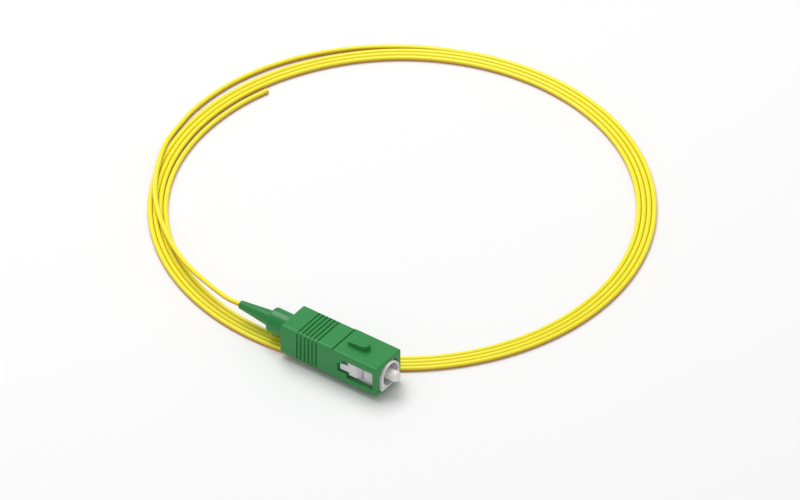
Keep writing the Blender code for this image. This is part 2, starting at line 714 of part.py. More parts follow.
def build_coil(parent, finish):
    """The turns as one ring, flat below, with the crown of each turn on top."""
    radius = CORD_DIAMETER / 2
    pitch = CORD_DIAMETER + TURN_GAP
    inner = COIL_OUTER_RADIUS - (TURNS_ACROSS - 1) * pitch - CORD_DIAMETER
    profile = []
    for turn in range(TURNS_ACROSS):
        centre = inner + radius + turn * pitch
        profile += arc((centre, radius), radius, *LOBE_SPAN, LOBE_STEPS)
    profile.append((COIL_OUTER_RADIUS, radius))
    profile.append((COIL_OUTER_RADIUS, COIL_EDGE))
    profile.append((COIL_OUTER_RADIUS - COIL_EDGE, 0.0))
    profile.append((inner + COIL_EDGE, 0.0))
    profile.append((inner, COIL_EDGE))
    profile.append((inner, radius))
    coil = turned("cord_coil", profile, COIL_STEPS, parent, finish, along_x=False)
    shade(coil, 60.0)
    return coil


def origin_shift():
    """The middle of the part's outline in plan, from the sizes that reach furthest."""
    radius = CORD_DIAMETER / 2
    lead_reach = min(point.x for point in lead_points()) - radius
    x_low = COIL_X + min(-COIL_OUTER_RADIUS, lead_reach)
    x_high = max(COIL_X + COIL_OUTER_RADIUS, FERRULE_PROUD)
    y_low = min(-GRIP_WIDTH / 2, COIL_Y - COIL_OUTER_RADIUS)
    y_high = COIL_Y + COIL_OUTER_RADIUS
    return Vector(((x_low + x_high) / 2, (y_low + y_high) / 2, 0.0))


def main():
    grip_green = material("grip_green", GRIP_GREEN, 0.42)
    boot_green = material("boot_green", BOOT_GREEN, 0.55)
    frame_white = material("frame_white", FRAME_WHITE, 0.45)
    ceramic = material("ceramic", CERAMIC_WHITE, 0.25)
    nickel = material("nickel", NICKEL, 0.3, 1.0)
    steel = material("steel", STEEL, 0.3, 1.0)
    yellow = material("cord_yellow", CORD_YELLOW, 0.4)

    shift = origin_shift()
    axis = add_empty("connector_axis", Vector((0.0, 0.0, AXIS_HEIGHT)) - shift)
    coil_centre = add_empty("coil_centre", Vector((COIL_X, COIL_Y, 0.0)) - shift)

    build_grip(axis, grip_green)
    build_frame(axis, frame_white)
    build_ferrule(axis, ceramic)
    build_collar(axis, nickel)
    build_spring(axis, steel)
    build_stop_ring(axis, nickel)
    build_boot(axis, boot_green)
    build_coil(coil_centre, yellow)
    cord_tube("cord_lead", lead_points(), coil_centre, yellow)
    cord_tube("cord_tail", tail_points(), coil_centre, yellow)


main()
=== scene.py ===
"""The looks of a fibre optic pigtail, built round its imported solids.

Pieces are shaped in millimetres, along the connector from the front face of the grip or
round the coil's centre, and then brought into the frame, in metres. A cutter runs PAST the
face that it cuts, and SHARP is the least rounding of a corner.
"""

import logging
import math
from contextlib import contextmanager
from dataclasses import dataclass, field
from enum import Enum
from typing import Any, Callable, Iterator

import bmesh
import bpy
from mathutils import Matrix, Vector


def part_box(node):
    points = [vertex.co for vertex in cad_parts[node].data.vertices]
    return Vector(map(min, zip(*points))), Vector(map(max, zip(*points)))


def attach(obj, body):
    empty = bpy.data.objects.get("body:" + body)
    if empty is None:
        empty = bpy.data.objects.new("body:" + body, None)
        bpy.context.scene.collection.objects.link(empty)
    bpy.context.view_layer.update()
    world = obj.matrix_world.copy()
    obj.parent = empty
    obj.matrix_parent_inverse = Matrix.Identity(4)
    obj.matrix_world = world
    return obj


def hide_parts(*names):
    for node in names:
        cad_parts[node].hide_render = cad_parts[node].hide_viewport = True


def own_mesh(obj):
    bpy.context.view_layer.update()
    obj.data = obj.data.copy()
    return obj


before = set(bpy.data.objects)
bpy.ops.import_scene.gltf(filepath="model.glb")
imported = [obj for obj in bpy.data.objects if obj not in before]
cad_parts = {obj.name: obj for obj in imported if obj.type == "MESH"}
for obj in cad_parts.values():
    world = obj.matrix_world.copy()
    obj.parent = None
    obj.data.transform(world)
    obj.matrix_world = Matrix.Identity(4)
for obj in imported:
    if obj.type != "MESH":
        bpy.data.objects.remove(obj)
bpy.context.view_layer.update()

LOG = logging.getLogger("pigtail")
MM = 0.001
PICTURE = (800, 500)
PAST = 1.0
SHARP = 0.02

Point = tuple[float, float]
Outline = list[Point]
Corner = tuple[float, float, float]
Stations = list[tuple[float, Outline]]
Colour = tuple[float, float, float]


class Body(Enum):
    """The rigid bodies of the frame."""

    PLUG = "plug"
    SLEEVE = "sleeve"
    FERRULE = "ferrule"


class Along(Enum):
    """The axis that a loft's outlines are strung on."""

    X = "x"
    Y = "y"
    Z = "z"

    def point(self, station: float, a: float, b: float) -> Vector:
        """The point (a, b) of an outline at its station on this axis."""
        places = {Along.X: (station, a, b), Along.Y: (a, station, b), Along.Z: (a, b, station)}
        return Vector(places[self])


class Join(Enum):
    """What a Boolean does with its second shape."""

    CUT = "DIFFERENCE"
    ADD = "UNION"


def srgb(*channels: int) -> Colour:
    """A colour as a monitor shows it, made linear.

    Args:
        channels: Red, green and blue, from 0 to 255.

    Returns:
        The linear colour.
    """
    shares = [channel / 255 for channel in channels]
    return tuple(s / 12.92 if s <= 0.04045 else ((s + 0.055) / 1.055) ** 2.4 for s in shares)


def arc(centre: Point, radius: float, start: float, end: float, steps: int) -> Outline:
    """Points along an arc, both ends included.

    Args:
        centre: The arc's centre.
        radius: Its radius.
        start: The first angle, in degrees.
        end: The last angle, in degrees.
        steps: How many segments it has.

    Returns:
        The arc's points.
    """
    angles = [math.radians(start + (end - start) * i / steps) for i in range(steps + 1)]
    return [(centre[0] + radius * math.cos(a), centre[1] + radius * math.sin(a)) for a in angles]


def rectangle(low: Point, high: Point, *radii: float) -> list[Corner]:
    """A rectangle's corners, counter-clockwise from its low one.

    Args:
        low: The corner with the lower coordinates.
        high: The opposite corner.
        radii: The roundings of the corners, or one for all four.

    Returns:
        Each corner and its rounding.
    """
    places = (low, (high[0], low[1]), high, (low[0], high[1]))
    return [(a, b, radii[i % len(radii)]) for i, (a, b) in enumerate(places)]


def rounded_polygon(corners: list[Corner], offset: float = 0.0, steps: int = 6) -> Outline:
    """An outline with right-angled corners, each rounded to its own radius.

    Args:
        corners: Each corner and its radius, counter-clockwise.
        offset: How far the outline is moved outwards.
        steps: Segments in each rounded corner.

    Returns:
        The outline's points.
    """
    points: Outline = []
    count = len(corners)
    for i, (a, b, radius) in enumerate(corners):
        here = Vector((a, b))
        before = Vector(corners[i - 1][:2])
        after = Vector(corners[(i + 1) % count][:2])
        way_in, way_out = (here - before).normalized(), (after - here).normalized()
        normal_in = Vector((way_in.y, -way_in.x))
        normal_out = Vector((way_out.y, -way_out.x))
        turn = 1.0 if way_in.cross(way_out) > 0 else -1.0
        moved = here + offset * (normal_in + normal_out)
        rounding = max(radius + turn * offset, SHARP)
        centre = moved - turn * rounding * (normal_in + normal_out)
        for k in range(steps + 1):
            angle = math.pi / 2 * k / steps
            point = centre + turn * rounding * (normal_in * math.cos(angle) + normal_out * math.sin(angle))
            points.append((point.x, point.y))
    return points


def lip(radius: float, steps: int = 4) -> Outline:
    """The rounding of an edge: how deep below the face, and how far the outline has opened there.

    Args:
        radius: The rounding's radius.
        steps: Its segments.

    Returns:
        Pairs of depth and offset, from the inside to the face.
    """
    angles = [math.pi / 2 * i / steps for i in range(steps + 1)]
    return [(radius * (1 - math.sin(a)), radius * (1 - math.cos(a))) for a in angles]


def scene_object(name: str, data: bpy.types.ID | None = None) -> bpy.types.Object:
    """Puts a mesh, a curve, a light or a camera in the scene.

    Args:
        name: The name of the object.
        data: What it shows, or none for a new empty mesh.

    Returns:
        The object.
    """
    piece = bpy.data.objects.new(name, data or bpy.data.meshes.new(name))
    bpy.context.scene.collection.objects.link(piece)
    return piece


@contextmanager
def shaping(piece: bpy.types.Object) -> Iterator[bmesh.types.BMesh]:
    """Opens a piece's mesh for shaping, and writes it back afterwards.

    Args:
        piece: The piece.

    Yields:
        Its mesh, in the form that can be shaped.
    """
    bm = bmesh.new()
    bm.from_mesh(piece.data)
    yield bm
    bm.to_mesh(piece.data)
    bm.free()


def loft(name: str, along: Along, stations: Stations) -> bpy.types.Object:
    """A closed shape through outlines that have as many points each.

    Args:
        name: The shape's name.
        along: The axis that the outlines are strung on.
        stations: Each outline with its place on the axis.

    Returns:
        The shape.
    """
    piece = scene_object(name)
    with shaping(piece) as bm:
        rings = [[bm.verts.new(along.point(at, a, b)) for a, b in outline] for at, outline in stations]
        for ring, following in zip(rings, rings[1:]):
            for i, vertex in enumerate(ring):
                bm.faces.new((ring[i - 1], vertex, following[i], following[i - 1]))
        bm.faces.new(rings[0])
        bm.faces.new(rings[-1])
        bmesh.ops.recalc_face_normals(bm, faces=bm.faces)
    return piece


def turn(name: str, profile: Outline, steps: int = 96) -> bpy.types.Object:
    """A closed profile turned about the connector's axis.

    Args:
        name: The shape's name.
        profile: Points of (place along the axis, radius), in order.
        steps: Segments round the axis.

    Returns:
        The turned shape.
    """
    piece = scene_object(name)
    with shaping(piece) as bm:
        points = [bm.verts.new((place, radius, 0.0)) for place, radius in profile]
        edges = [bm.edges.new(pair) for pair in zip(points, points[1:] + points[:1])]
        about = {"cent": (0, 0, 0), "axis": (1, 0, 0), "angle": math.tau}
        bmesh.ops.spin(bm, geom=points + edges, steps=steps, **about)
        bmesh.ops.remove_doubles(bm, verts=bm.verts, dist=1e-4)
        bmesh.ops.dissolve_degenerate(bm, dist=1e-5, edges=bm.edges)
        bmesh.ops.recalc_face_normals(bm, faces=bm.faces)
    return piece


def box(name: str, low: Corner, high: Corner) -> bpy.types.Object:
    """A box between two corners.

    Args:
        name: The shape's name.
        low: Its lowest corner.
        high: Its highest corner.

    Returns:
        The box.
    """
    outline = [(y, z) for y, z, _ in rectangle(low[1:], high[1:], 0.0)]
    return loft(name, Along.X, [(low[0], outline), (high[0], outline)])


def soften(piece: bpy.types.Object, width: float) -> bpy.types.Object:
    """Rounds every sharp edge of a plain prism.

    Args:
        piece: The prism.
        width: The rounding's width.

    Returns:
        The same prism.
    """
    with shaping(piece) as bm:
        sharp = [edge for edge in bm.edges if edge.calc_face_angle(0.0) > math.radians(25)]
        shape = {"offset": width, "segments": 2, "profile": 0.5}
        bmesh.ops.bevel(bm, geom=sharp, affect="EDGES", clamp_overlap=True, **shape)
    return piece


def settle(piece: bpy.types.Object) -> bpy.types.Object:
    """Turns a piece's modifiers into its own plain mesh.

    Args:
        piece: A mesh or a curve with modifiers.

    Returns:
        The plain mesh object, of the same name.
    """
    bpy.context.view_layer.update()
    graph = bpy.context.evaluated_depsgraph_get()
    shape = piece.evaluated_get(graph)
    mesh = bpy.data.meshes.new_from_object(shape, preserve_all_data_layers=True, depsgraph=graph)
    name = piece.name
    bpy.data.objects.remove(piece, do_unlink=True)
    mesh.name = name
    return scene_object(name, mesh)


def combine(piece: bpy.types.Object, other: bpy.types.Object, join: Join) -> bpy.types.Object:
    """Cuts a shape from a piece or adds it, and removes the shape.

    Args:
        piece: The piece that is changed.
        other: The shape, which is used up.
        join: Whether it is cut away or added.

    Returns:
        The changed piece.
    """
    modifier = piece.modifiers.new("join", "BOOLEAN")
    modifier.solver = "EXACT"
    modifier.operation = join.value
    modifier.object = other
    done = settle(piece)
    bpy.data.objects.remove(other, do_unlink=True)
    return done


def polish(piece: bpy.types.Object, angle: float = 32.0) -> bpy.types.Object:
    """Welds a piece, shades it smooth between its sharp edges and keeps its flats flat.

    Args:
        piece: The piece.
        angle: Edges above this angle, in degrees, stay sharp.

    Returns:
        The finished piece.
    """
    with shaping(piece) as bm:
        bmesh.ops.remove_doubles(bm, verts=bm.verts, dist=2e-4)
        bmesh.ops.dissolve_degenerate(bm, dist=1e-4, edges=bm.edges)
        bmesh.ops.triangulate(bm, faces=[face for face in bm.faces if len(face.verts) > 4])
    piece.data.shade_smooth()
    piece.data.set_sharp_from_angle(angle=math.radians(angle))
    weighted = piece.modifiers.new("flats", "WEIGHTED_NORMAL")
    weighted.keep_sharp = True
    weighted.weight = 100
    return settle(piece)


@dataclass(frozen=True)
class Datum:
    """Where the connector and the coil are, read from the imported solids."""

    front: Vector
    coil: Vector

    @classmethod
    def read(cls) -> "Datum":
        """Reads both places from the frame.

        Returns:
            The places, in metres.
        """
        _, grip_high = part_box("outer_housing")
        boot_low, boot_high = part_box("boot")
        coil_low, coil_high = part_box("cord_coil")
        axis = (boot_low + boot_high) / 2
        middle = (coil_low + coil_high) / 2
        return cls(Vector((grip_high.x, axis.y, axis.z)), Vector((middle.x, middle.y, coil_low.z)))

    def seat(self, piece: bpy.types.Object) -> bpy.types.Object:
        """Brings a piece of the connector from millimetres into the frame.

        Args:
            piece: The piece, shaped round the connector's front.

        Returns:
            The same piece, its object still at the origin.
        """
        piece.data.transform(Matrix.Translation(self.front) @ Matrix.Scale(MM, 4))
        piece.data.update()
        return piece


DATUM = Datum.read()


class Signal:
    """A value in a node tree, which takes part in arithmetic."""

    def __init__(self, tree: "Tree", socket: bpy.types.NodeSocket) -> None:
        """Wraps an output socket of a tree."""
        self.tree = tree
        self.socket = socket

    def _math(self, operation: str, first: Any, second: Any) -> "Signal":
        """The result of one Math node."""
        return self.tree.make("ShaderNodeMath", {"operation": operation}, {0: first, 1: second})

    def __add__(self, other: Any) -> "Signal":
        """This value plus another."""
        return self._math("ADD", self, other)

    __radd__ = __add__

    def __sub__(self, other: Any) -> "Signal":
        """This value less another."""
        return self._math("SUBTRACT", self, other)

    def __rsub__(self, other: Any) -> "Signal":
        """Another value less this one."""
        return self._math("SUBTRACT", other, self)

    def __mul__(self, other: Any) -> "Signal":
        """This value times another."""
        return self._math("MULTIPLY", self, other)

    def __gt__(self, other: Any) -> "Signal":
        """One where this value is above another."""
        return self._math("GREATER_THAN", self, other)

    def __lt__(self, other: Any) -> "Signal":
        """One where this value is below another."""
        return self._math("LESS_THAN", self, other)


class Tree:
    """A node tree that is being built, of a material or of Geometry Nodes."""

    def __init__(self, nodes: bpy.types.NodeTree) -> None:
        """Wraps a tree that already exists."""
        self.nodes = nodes

    def fill(self, node: bpy.types.Node, values: dict[Any, Any]) -> None:
        """Fills a node's inputs.

        Args:
            node: The node.
            values: For each input, by name or number, a value or a Signal.
        """
        for key, value in values.items():
            if isinstance(value, Signal):
                self.nodes.links.new(value.socket, node.inputs[key])
            else:
                node.inputs[key].default_value = value

    def place(self, kind: str, settings: dict[str, Any], values: dict[Any, Any]) -> bpy.types.Node:
        """Makes a node and fills its properties and inputs.

        Args:
            kind: The node's type.
            settings: Its properties, which are set first.
            values: For each input, by name or number, a value or a Signal.

        Returns:
            The node.
        """
        node = self.nodes.nodes.new(kind)
        for name, value in settings.items():
            setattr(node, name, value)
        self.fill(node, values)
        return node

    def make(self, kind: str, settings: dict[str, Any], values: dict[Any, Any], out: Any = 0) -> Signal:
        """One output of a new node, by its name or number."""
        return Signal(self, self.place(kind, settings, values).outputs[out])

    def here(self) -> Signal:
        """The object's own coordinates."""
        return self.make("ShaderNodeTexCoord", {}, {}, "Object")

    def attribute(self, name: str, out: str) -> Signal:
        """A value that the mesh carries under a name."""
        return self.make("ShaderNodeAttribute", {"attribute_name": name}, {}, out)

    def noise(self, where: Signal, size: float, detail: float = 2.0, stretch: Colour = (1, 1, 1)) -> Signal:
        """A noise pattern from 0 to 1, its grain in metres and finer along an axis as that is stretched."""
        scaled = self.make("ShaderNodeMapping", {}, {"Vector": where, "Scale": stretch})
        return self.make("ShaderNodeTexNoise", {}, {"Vector": scaled, "Scale": 1 / size, "Detail": detail})

    def blend(self, share: Any, first: Any, second: Any) -> Signal:
        """Mixes two colours.

        Args:
            share: How much of the second colour shows.
            first: The first colour or its Signal.
            second: The second colour or its Signal.

        Returns:
            The mixed colour.
        """
        ends = [value if isinstance(value, Signal) else (*value, 1.0) for value in (first, second)]
        settings = {"data_type": "RGBA", "clamp_factor": True}
        return self.make("ShaderNodeMix", settings, {0: share, 6: ends[0], 7: ends[1]}, 2)

    def bump(self, height: Signal, depth: float, under: Signal | None = None) -> Signal:
        """A relief on the surface.

        Args:
            height: The relief, from 0 to 1.
            depth: Its depth, in metres.
            under: A relief that it lies on.

        Returns:
            The normal.
        """
        values: dict[Any, Any] = {"Height": height, "Distance": depth, "Strength": 1.0}
        if under is not None:
            values["Normal"] = under
        return self.make("ShaderNodeBump", {}, values)


@dataclass(frozen=True)
class Finish:
    """What every finish has: a name, and two shades that it changes between."""

    name: str
    base: Colour
    deep: Colour

    def sockets(self, tree: Tree) -> dict[str, Any]:
        """What the shader's inputs get, from patterns made in its tree."""
        raise NotImplementedError

    def material(self) -> bpy.types.Material:
        """Builds the material.

        Returns:
            The material.
        """
        material = bpy.data.materials.new(self.name)
        material.use_nodes = True
        tree = Tree(material.node_tree)
        tree.fill(material.node_tree.nodes["Principled BSDF"], self.sockets(tree))
        return material


@dataclass(frozen=True)
class MouldedPlastic(Finish):
    """Moulded plastic with a spark-eroded grain, faint flow and cloudy shade."""

    roughness: float
    grain: float = 0.09 * MM
    relief: float = 0.0016 * MM
    cloud: float = 2.6 * MM
    flow: float = 1.2 * MM
    coat: float = 0.0
    coat_roughness: float = 0.12
    specular: float = 0.2
    flow_share: float = 0.45
    flow_wear: float = 0.12
    grain_wear: float = 0.08

    def sockets(self, tree: Tree) -> dict[str, Any]:
        """Makes the patterns.

        Args:
            tree: The material's tree.

        Returns:
            What the shader's inputs get.
        """
        where = tree.here()
        flow = tree.noise(where, self.flow, 2.0, (0.25, 1.0, 1.0))
        grain = tree.noise(where, self.grain, 1.0)
        cloud = tree.noise(where, self.cloud, 3.0)
        tone = cloud * (1.0 - self.flow_share) + flow * self.flow_share
        return {
            "Base Color": tree.blend(tone, self.deep, self.base),
            "Roughness": self.roughness + (flow - 0.5) * self.flow_wear + (grain - 0.5) * self.grain_wear,
            "Normal": tree.bump(grain, self.relief, tree.bump(flow, self.relief * 2)),
            "Coat Weight": self.coat,
            "Coat Roughness": self.coat_roughness,
            "Specular IOR Level": self.specular,
        }


@dataclass(frozen=True)
class CordJacket(Finish):
    """An extruded jacket: smooth, with draw lines and slow shades on its straightened coordinates, and
    painted shade on its sides and underside.
    """

    # Painted shade: the darker amber that the jacket is painted where it faces sideways or down.
    crease: Colour
    roughness: float = 0.3
    draw_line: float = 0.12 * MM
    grain: float = 0.05 * MM
    shade: float = 6.0 * MM
    line_share: float = 0.4
    painted_light_gain: float = 1.4
    shade_wear: float = 0.1
    grain_wear: float = 0.06
    line_relief: float = 0.0015 * MM
    grain_relief: float = 0.0008 * MM
    depth: float = 0.3 * MM
    depth_share: float = 0.08

    def sockets(self, tree: Tree) -> dict[str, Any]:
        """Makes the patterns.

        Args:
            tree: The material's tree.

        Returns:
            What the shader's inputs get.
        """
        where = tree.attribute("straight", "Vector")
        slow = tree.noise(where, self.shade, 2.0, (0.6, 0.6, 0.35))
        lines = tree.noise(where, self.draw_line, 2.0, (1.0, 1.0, 0.02))
        grain = tree.noise(where, self.grain, 1.0)
        tone = slow * (1.0 - self.line_share) + lines * self.line_share
        jacket = tree.blend(tone, self.deep, self.base)
        # Painted shade: where the surface faces away from above, the jacket's colour gives way to the crease
        # colour.
        painted_light_share = tree.attribute("painted_light_share", "Fac") * self.painted_light_gain
        return {
            "Base Color": tree.blend(painted_light_share, self.crease, jacket),
            "Roughness": self.roughness + (slow - 0.5) * self.shade_wear + (grain - 0.5) * self.grain_wear,
            "Normal": tree.bump(grain, self.grain_relief, tree.bump(lines, self.line_relief)),
            "Subsurface Weight": self.depth_share,
            "Subsurface Scale": self.depth,
        }


@dataclass(frozen=True)
class GroundCeramic(Finish):
    """Zirconia: ground round its side, polished on its end, with the fibre's end in the middle."""

    fibre: Colour
    fibre_radius: float = 0.0625 * MM
    polished_from: float = -0.35 * MM
    roughness: float = 0.3
    polish: float = 0.2
    pitch: float = 0.03 * MM
    ring_wear: float = 0.12
    ring_relief: float = 0.001 * MM
    cloud: float = 0.9 * MM
    depth: float = 0.5 * MM
    depth_share: float = 0.15

    def sockets(self, tree: Tree) -> dict[str, Any]:
        """Makes the patterns.

        Args:
            tree: The material's tree.

        Returns:
            What the shader's inputs get.
        """
        where = tree.here()
        low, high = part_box("ferrule")
        middle = (low + high) / 2
        from_end = (-high.x, -middle.y, -middle.z)
        local = tree.make("ShaderNodeMapping", {}, {"Vector": where, "Location": from_end})
        parts = tree.place("ShaderNodeSeparateXYZ", {}, {"Vector": local})
        x, y, z = (Signal(tree, output) for output in parts.outputs)
        reach = tree.make("ShaderNodeMath", {"operation": "SQRT"}, {0: y * y + z * z})
        end = x > self.polished_from
        rings = tree.noise(where, self.pitch, 2.0, (1.0, 0.02, 0.02))
        body = tree.blend(tree.noise(where, self.cloud, 3.0), self.deep, self.base)
        return {
            "Base Color": tree.blend((reach < self.fibre_radius) * end, body, self.fibre),
            "Roughness": self.roughness + rings * self.ring_wear - end * self.polish,
            "Normal": tree.bump(rings * (1.0 - end), self.ring_relief),
            "Subsurface Weight": self.depth_share,
            "Subsurface Scale": self.depth,
        }


@dataclass(frozen=True)
class TurnedMetal(Finish):
    """Plated metal with the fine rings that a lathe leaves."""

    roughness: float = 0.26
    pitch: float = 0.05 * MM
    ring_wear: float = 0.12
    ring_relief: float = 0.001 * MM
    cloud: float = 1.4 * MM
    cloud_wear: float = 0.08

    def sockets(self, tree: Tree) -> dict[str, Any]:
        """Makes the patterns.

        Args:
            tree: The material's tree.

        Returns:
            What the shader's inputs get.
        """
        where = tree.here()
        rings = tree.noise(where, self.pitch, 2.0, (1.0, 0.05, 0.05))
        cloud = tree.noise(where, self.cloud, 3.0)
        return {
            "Base Color": tree.blend(cloud, self.deep, self.base),
            "Roughness": self.roughness + rings * self.ring_wear + (cloud - 0.5) * self.cloud_wear,
            "Normal": tree.bump(rings, self.ring_relief),
            "Metallic": 1.0,
        }


@dataclass(frozen=True)
class StudioPaper(Finish):
    """The matte white sheet that the part lies on."""

    roughness: float = 0.85
    fibre: float = 0.8 * MM

    def sockets(self, tree: Tree) -> dict[str, Any]:
        """Faint fibres in a matte sheet."""
        fibres = tree.noise(tree.here(), self.fibre, 3.0)
        return {"Base Color": tree.blend(fibres, self.deep, self.base), "Roughness": self.roughness}


GRIP_GREEN = MouldedPlastic("grip_green", srgb(59, 147, 80), srgb(51, 137, 72), 0.36,
                            relief=0.0008 * MM, coat=0.25, specular=0.1)
BOOT_GREEN = MouldedPlastic("boot_green", srgb(36, 136, 66), srgb(30, 124, 58), 0.42, grain=0.07 * MM,
                            relief=0.0008 * MM, coat=0.45)
FRAME_WHITE = MouldedPlastic("frame_white", srgb(232, 230, 232), srgb(222, 220, 222), 0.34, specular=0.4)
# The cord's last colour is painted shade for its sides and the creases between its turns.
CORD_YELLOW = CordJacket("cord_yellow", srgb(255, 249, 56), srgb(252, 240, 44), srgb(206, 150, 4))
FERRULE_WHITE = GroundCeramic("ferrule_white", srgb(242, 240, 236), srgb(236, 234, 228), srgb(60, 66, 84))
NICKEL = TurnedMetal("nickel_plate", srgb(205, 200, 190), srgb(192, 187, 176))
SPRING_STEEL = TurnedMetal("spring_steel", srgb(196, 196, 198), srgb(180, 180, 184), 0.22, 0.03 * MM)
FIBRE_COAT = MouldedPlastic("fibre_coat", srgb(214, 220, 226), srgb(204, 210, 216), 0.2, grain=0.02 * MM)
PAPER = StudioPaper("studio_paper", (0.95, 0.95, 0.95), (0.936, 0.936, 0.936))


def dress(piece: bpy.types.Object, finish: bpy.types.Material, body: Body) -> bpy.types.Object:
    """Gives a finished piece its material, slot and body.

    Args:
        piece: The piece, in the frame.
        finish: Its material.
        body: The body that it rides on.

    Returns:
        The same piece.
    """
    piece.data.materials.clear()
    piece.data.materials.append(finish)
    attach(piece, body.value)
    LOG.info("%s: %d faces, on %s", piece.name, len(piece.data.polygons), body.value)
    return piece


class GeometryTree(Tree):
    """A Geometry Nodes tree with named inputs."""

    def __init__(self, name: str, inputs: dict[str, tuple[str, Any]]) -> None:
        """Starts the tree.

        Args:
            name: The tree's name.
            inputs: For each named input, its socket type and its value.
        """
        group = bpy.data.node_groups.new(name, "GeometryNodeTree")
        super().__init__(group)
        group.interface.new_socket("Geometry", in_out="INPUT", socket_type="NodeSocketGeometry")
        group.interface.new_socket("Geometry", in_out="OUTPUT", socket_type="NodeSocketGeometry")
        self.group = group
        self.values: dict[str, Any] = {}
        for label, (kind, value) in inputs.items():
            socket = group.interface.new_socket(label, in_out="INPUT", socket_type=kind)
            self.values[socket.identifier] = value
        self.start = self.place("NodeGroupInput", {}, {})

    def given(self, label: str) -> Signal:
        """A named input of the tree."""
        return Signal(self, self.start.outputs[label])

    def store(self, shape: Signal, name: str, value: Signal, kind: str = "FLOAT") -> Signal:
        """Keeps a value on a shape's points under a name."""
        settings = {"data_type": kind, "domain": "POINT"}
        return self.make("GeometryNodeStoreNamedAttribute", settings,
                         {"Geometry": shape, "Name": name, "Value": value})

    def recall(self, name: str, kind: str = "FLOAT") -> Signal:
        """A value that was kept under a name."""
        return self.make("GeometryNodeInputNamedAttribute", {"data_type": kind}, {"Name": name})

    def circle(self, sides: str, radius: str) -> Signal:
        """A round section, its sizes taken from named inputs."""
        sizes = {"Resolution": self.given(sides), "Radius": self.given(radius)}
        return self.make("GeometryNodeCurvePrimitiveCircle", {}, sizes)

    def tube(self, line: Signal, profile: Signal) -> Signal:
        """A closed tube along a line."""
        parts = {"Curve": line, "Profile Curve": profile, "Fill Caps": True}
        return self.make("GeometryNodeCurveToMesh", {}, parts)

    def smooth(self, shape: Signal) -> Signal:
        """A shape, shaded smooth."""
        return self.make("GeometryNodeSetShadeSmooth", {}, {"Geometry": shape, "Shade Smooth": True})

    def run(
        self, piece: bpy.types.Object, result: Signal, finish: bpy.types.Material | None
    ) -> bpy.types.Object:
        """Ends the tree, runs it on a piece and keeps the plain mesh.

        Args:
            piece: The object that the tree starts from.
            result: The tree's last geometry.
            finish: The material that it sets.

        Returns:
            The piece as a plain mesh.
        """
        real = self.make("GeometryNodeRealizeInstances", {}, {"Geometry": result})
        painted = self.make("GeometryNodeSetMaterial", {}, {"Geometry": real, "Material": finish})
        self.place("NodeGroupOutput", {}, {"Geometry": painted})
        modifier = piece.modifiers.new(self.group.name, "NODES")
        modifier.node_group = self.group
        for identifier, value in self.values.items():
            modifier[identifier] = value
        return settle(piece)


def row_of(piece: bpy.types.Object, count: int, pitch: float) -> bpy.types.Object:
    """Repeats a shape along the connector with Geometry Nodes.

    Args:
        piece: The first shape of the row.
        count: How many there are.
        pitch: The step from one to the next.

    Returns:
        The whole row as one mesh.
    """
    inputs = {"Count": ("NodeSocketInt", count), "Pitch": ("NodeSocketFloat", pitch)}
    tree = GeometryTree(f"{piece.name}_row", inputs)
    step = tree.make("ShaderNodeCombineXYZ", {}, {"X": tree.given("Pitch")})
    steps = {"Count": tree.given("Count"), "Offset": step}
    line = tree.make("GeometryNodeMeshLine", {"mode": "OFFSET"}, steps)
    each = {"Points": line, "Instance": tree.given("Geometry")}
    copies = tree.make("GeometryNodeInstanceOnPoints", {}, each)
    return tree.run(piece, copies, None)


